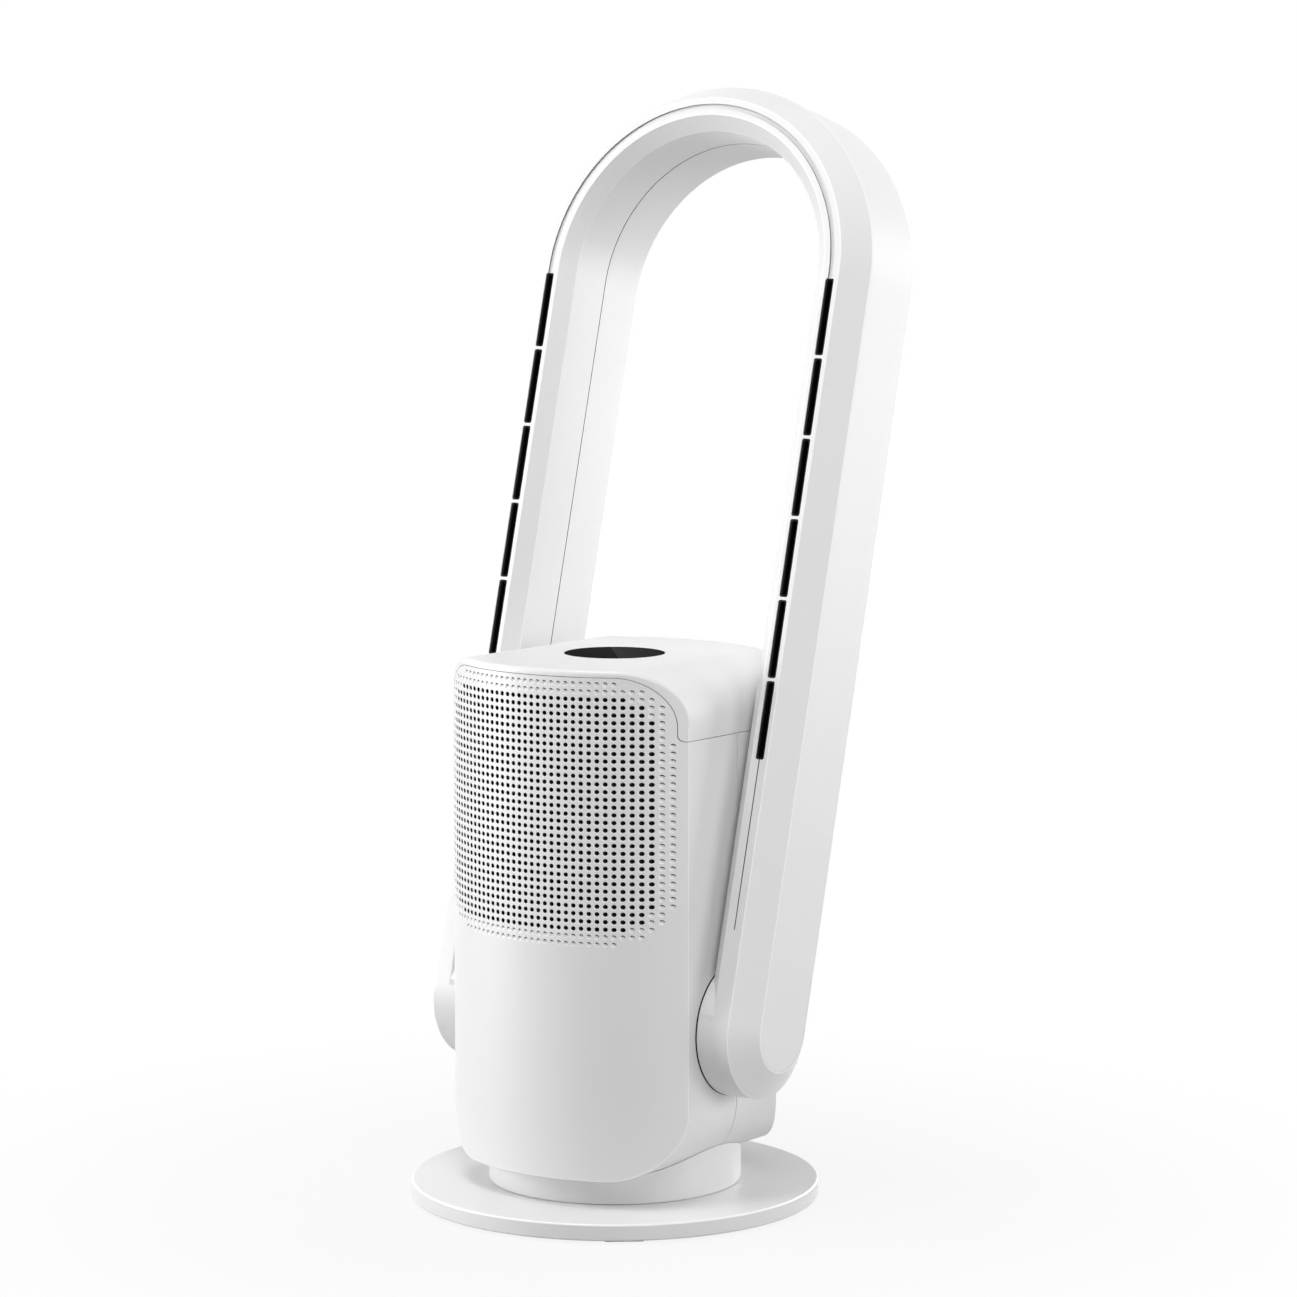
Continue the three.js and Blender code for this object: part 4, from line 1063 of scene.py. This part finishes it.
def display_glass():
    """Smoked glass with a painted reflection: black on one side of a slanting line, lighter on the
    other.
    """
    look = material("display_glass", grey(0.004), 0.04, Specular_IOR_Level=0.00008)
    nodes, links = look.node_tree.nodes, look.node_tree.links
    place = nodes.new("ShaderNodeTexCoord")
    across = nodes.new("ShaderNodeVectorMath")
    across.operation = "DOT_PRODUCT"
    across.inputs[1].default_value = GLASS_NORMAL
    links.new(place.outputs["Object"], across.inputs[0])
    spread = nodes.new("ShaderNodeMapRange")
    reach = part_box("display_lens")[1].x
    spread.inputs["From Min"].default_value = -reach
    spread.inputs["From Max"].default_value = reach
    links.new(across.outputs["Value"], spread.inputs["Value"])
    ramp = nodes.new("ShaderNodeValToRGB")
    stops = ramp.color_ramp.elements
    while len(stops) < len(GLASS_REFLECTION_TONES):
        stops.new(0.5)
    for stop, (position, tone) in zip(stops, GLASS_REFLECTION_TONES):
        stop.position = position
        stop.color = (*grey(tone), 1)
    links.new(spread.outputs["Result"], ramp.inputs["Fac"])
    links.new(ramp.outputs["Color"], nodes["Principled BSDF"].inputs["Base Color"])
    return grain(look, 900, 0.001 * MM, None, (0.03, 0.05))


def black_plastic():
    look = material("black_satin", grey(0.012), 0.42)
    return grain(look, 2400, 0.03 * MM, (grey(0.010), grey(0.015)), (0.38, 0.5))


def grey_plastic():
    look = material("grey_satin", grey(0.28), 0.5)
    return grain(look, 2200, 0.03 * MM, (grey(0.26), grey(0.3)), (0.45, 0.56))


def acetal():
    look = material("acetal", (0.72, 0.71, 0.66), 0.34, Subsurface_Weight=0.05)
    return grain(look, 1500, 0.01 * MM, ((0.7, 0.69, 0.64), (0.74, 0.73, 0.68)), (0.3, 0.4))


def steel():
    look = material("steel", grey(0.56), 0.32, Metallic=1.0)
    return grain(look, 3200, 0.01 * MM, (grey(0.52), grey(0.6)), (0.26, 0.4))


def board():
    look = material("board", (0.012, 0.09, 0.04), 0.4)
    return grain(look, 700, 0.05 * MM, ((0.008, 0.07, 0.03), (0.018, 0.11, 0.05)), (0.3, 0.5))


def rubber():
    look = material("rubber", grey(0.014), 0.7)
    return grain(look, 1800, 0.05 * MM, (grey(0.011), grey(0.018)), (0.62, 0.78))


def filter_paper():
    look = material("filter_paper", (0.74, 0.75, 0.72), 0.95, Sheen_Weight=0.2)
    return grain(look, 1300, 0.12 * MM, ((0.7, 0.71, 0.68), (0.78, 0.79, 0.76)), (0.9, 1.0))


# The black of the sheet behind the grille: painted shade.
def black_shade_sheet():
    look = material("black_shade_sheet", grey(0.008), 0.95)
    return grain(look, 1600, 0.2 * MM, (grey(0.005), grey(0.012)), (0.9, 1.0))


LOOKS = {
    "white_plastic": white_plastic(),
    "black_gloss": black_gloss(),
    "black_plastic": black_plastic(),
    "grey_plastic": grey_plastic(),
    "acetal": acetal(),
    "board": board(),
    "steel": steel(),
    "rubber": rubber(),
    "filter_paper": filter_paper(),
}
# Looks for painted shade and painted highlights
SHADE_SHEET_LOOK = black_shade_sheet()
PAINTED_HIGHLIGHT_LOOK = white_painted_highlight()
PAINTED_SHADE_LOOK = painted_seam_shade()


def dress(obj, body, slot, nodes=(), look=None):
    """Gives a piece its look, the body it rides on and the nodes it stands for."""
    own = look or LOOKS[slot]
    # Looks by mark: the piece's own, a painted highlight on white plastic's rounded edges, painted
    # black shade, painted grey shade.
    looks = (own, PAINTED_HIGHLIGHT_LOOK if slot == "white_plastic" else own, LOOKS["black_plastic"], PAINTED_SHADE_LOOK)
    marks = {face.material_index for face in obj.data.polygons}
    for index in range(len(obj.data.materials)):
        obj.data.materials[index] = looks[index]
    while len(obj.data.materials) > max(marks) + 1:
        obj.data.materials.pop()
    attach(obj, body)
    if nodes:
        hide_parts(*nodes)


NODE_SLOTS = {
    "base_shell": "white_plastic",
    "weight_plate": "steel",
    "power_inlet": "black_plastic",
    "race_ring": "acetal",
    "retaining_ring": "steel",
    "gear_ring": "acetal",
    "turntable": "grey_plastic",
    "oscillation_motor": "steel",
    "pinion": "acetal",
    "display_board": "board",
    "blower_drum": "grey_plastic",
    "blower_motor": "steel",
    "impeller": "black_plastic",
    "main_board": "board",
    "pivot_socket_left": "grey_plastic",
    "pivot_socket_right": "grey_plastic",
    "pivot_seal_left": "rubber",
    "pivot_seal_right": "rubber",
    "filter_media": "filter_paper",
    "filter_end_lower": "black_plastic",
    "filter_end_upper": "black_plastic",
    "pivot_tube_left": "grey_plastic",
    "pivot_tube_right": "grey_plastic",
}


def dress_nodes():
    for name, slot in NODE_SLOTS.items():
        mesh = frame["nodes"][name].data
        mesh.materials.clear()
        mesh.materials.append(LOOKS[slot])


def build_pieces():
    dress(front_panel(), "body", "white_plastic", ["front_shell"])
    dress(grille_shade_sheet(), "body", "black_plastic", look=SHADE_SHEET_LOOK)
    dress(top_cover(), "body", "white_plastic", ["top_cap"])
    dress(display(), "body", "black_gloss", ["display_lens"], display_glass())
    dress(rear_panel(), "cover", "white_plastic", ["rear_cover"])
    dress(collar(), "body", "white_plastic", ["pedestal_collar"])
    dress(base_cover(), "stand", "white_plastic", ["base_shell"])
    for index in range(1, FOOT_COUNT + 1):
        dress(rubber_foot(index), "stand", "rubber", [f"foot_{index}"])
    dress(loop_front(), "loop", "white_plastic", ["loop_front_shell"])
    dress(loop_rear(), "loop", "white_plastic", ["loop_rear_shell"])
    for name, side in (("left", -1), ("right", 1)):
        for index in range(OUTLET_COUNT):
            piece = nozzle(f"outlet_{name}_{index + 1}", side, index)
            dress(piece, "loop", "black_gloss", [f"nozzle_{name}_{index + 1}"])


# Stage
FLOOR_REACH = 6
FLOOR_DEPTH = 20 * MM
FLOOR_TONE = 0.5
# Near the part the floor's white share drops, letting its real shadow show and painting a faint
# darker pool as shadow
SHADOW_SHARE = 0.88
SHADOW_REACH = (0.15, 0.6)
AMBIENT = 0.1


def white_rays(tree):
    """One for the rays that see the background, which stay plain white, and else zero."""
    nodes, links = tree.nodes, tree.links
    path = nodes.new("ShaderNodeLightPath")
    total = path.outputs["Is Camera Ray"]
    for ray in ("Is Glossy Ray", "Is Transmission Ray"):
        more = nodes.new("ShaderNodeMath")
        more.operation = "MAXIMUM"
        links.new(total, more.inputs[0])
        links.new(path.outputs[ray], more.inputs[1])
        total = more.outputs[0]
    return total


def white_share(tree):
    """The floor's share of plain white: a little less near the part, where its real shadow lies,
    which also paints a faint darker pool round the part as shadow.
    """
    nodes, links = tree.nodes, tree.links
    place = nodes.new("ShaderNodeNewGeometry")
    distance = nodes.new("ShaderNodeVectorMath")
    distance.operation = "LENGTH"
    links.new(place.outputs["Position"], distance.inputs[0])
    fade = nodes.new("ShaderNodeMapRange")
    fade.interpolation_type = "SMOOTHSTEP"
    fade.inputs["From Min"].default_value, fade.inputs["From Max"].default_value = SHADOW_REACH
    fade.inputs["To Min"].default_value = SHADOW_SHARE
    fade.inputs["To Max"].default_value = 1
    links.new(distance.outputs["Value"], fade.inputs["Value"])
    share = nodes.new("ShaderNodeMath")
    share.operation = "MULTIPLY"
    links.new(white_rays(tree), share.inputs[0])
    links.new(fade.outputs["Result"], share.inputs[1])
    return share.outputs[0]


def floor():
    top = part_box("foot_1")[0].z
    corners = rectangle(0, 0, FLOOR_REACH, FLOOR_REACH)
    plane = prism("floor", corners, "Z", top - FLOOR_DEPTH, top)
    look = bpy.data.materials.new("floor")
    look.use_nodes = True
    tree = look.node_tree
    shader = tree.nodes["Principled BSDF"]
    shader.inputs["Base Color"].default_value = (*grey(FLOOR_TONE), 1)
    shader.inputs["Roughness"].default_value = 0.9
    shader.inputs["Specular IOR Level"].default_value = 0.1
    white = tree.nodes.new("ShaderNodeEmission")
    white.inputs["Color"].default_value = (1, 1, 1, 1)
    mix = tree.nodes.new("ShaderNodeMixShader")
    tree.links.new(white_share(tree), mix.inputs[0])
    tree.links.new(shader.outputs[0], mix.inputs[1])
    tree.links.new(white.outputs[0], mix.inputs[2])
    tree.links.new(mix.outputs[0], tree.nodes["Material Output"].inputs["Surface"])
    plane.data.materials.clear()
    plane.data.materials.append(look)


def world():
    scene = bpy.context.scene
    scene.world = bpy.data.worlds.new("studio")
    scene.world.use_nodes = True
    tree = scene.world.node_tree
    dim = tree.nodes["Background"]
    dim.inputs["Color"].default_value = (1, 1, 1, 1)
    dim.inputs["Strength"].default_value = AMBIENT
    white = tree.nodes.new("ShaderNodeBackground")
    white.inputs["Color"].default_value = (1, 1, 1, 1)
    mix = tree.nodes.new("ShaderNodeMixShader")
    tree.links.new(white_rays(tree), mix.inputs[0])
    tree.links.new(dim.outputs[0], mix.inputs[1])
    tree.links.new(white.outputs[0], mix.inputs[2])
    tree.links.new(mix.outputs[0], tree.nodes["World Output"].inputs["Surface"])


AIM = Vector((0, 0, 0.36))
LAMP_DISTANCE = 2.4
LAMP_SIZE = 1.1
# Name, azimuth and elevation in degrees, and watts
SOFTBOXES = [
    ("left", -60, 6, 47),
    ("right", 60, 6, 5),
    ("right_high", 45, 42, 16),
    ("side", 105, 0, 17),
    ("rear_right", 150, 6, 17),
    ("rear", 180, 6, 20),
    ("front_high", 0, 68, 29),
    ("top", 0, 88, 8),
]


def softbox(name, azimuth, elevation, energy):
    """A soft lamp on a sphere about the part: azimuth 0 is in front, 90 at its right."""
    data = bpy.data.lights.new(name, "AREA")
    data.shape = "RECTANGLE"
    data.size = data.size_y = LAMP_SIZE
    data.energy = energy
    lamp = bpy.data.objects.new(name, data)
    a, e = math.radians(azimuth), math.radians(elevation)
    direction = Vector((math.sin(a) * math.cos(e), -math.cos(a) * math.cos(e), math.sin(e)))
    lamp.location = AIM + direction * LAMP_DISTANCE
    lamp.rotation_euler = direction.to_track_quat("Z", "Y").to_euler()
    bpy.context.scene.collection.objects.link(lamp)


# The photograph's camera: its place, and its turns in degrees
CAMERA_PLACE = (1.67284, -2.26729, 0.69239)
CAMERA_DOWN = 6.544
CAMERA_ROUND = 35.96
LENS = 118.06
SENSOR = 36
CAMERA_REACH = 50


def camera():
    """The photograph's view: 36 degrees round to the right and a little from above."""
    data = bpy.data.cameras.new("camera")
    data.lens = LENS
    data.sensor_width = SENSOR
    data.clip_end = CAMERA_REACH
    view = bpy.data.objects.new("camera", data)
    view.location = CAMERA_PLACE
    view.rotation_euler = (math.radians(90 - CAMERA_DOWN), 0, math.radians(CAMERA_ROUND))
    bpy.context.scene.collection.objects.link(view)
    bpy.context.scene.camera = view


def stage():
    floor()
    world()
    for name, azimuth, elevation, energy in SOFTBOXES:
        softbox(name, azimuth, elevation, energy)
    camera()


build_pieces()
dress_nodes()
stage()
bpy.context.scene.view_settings.view_transform = "Standard"
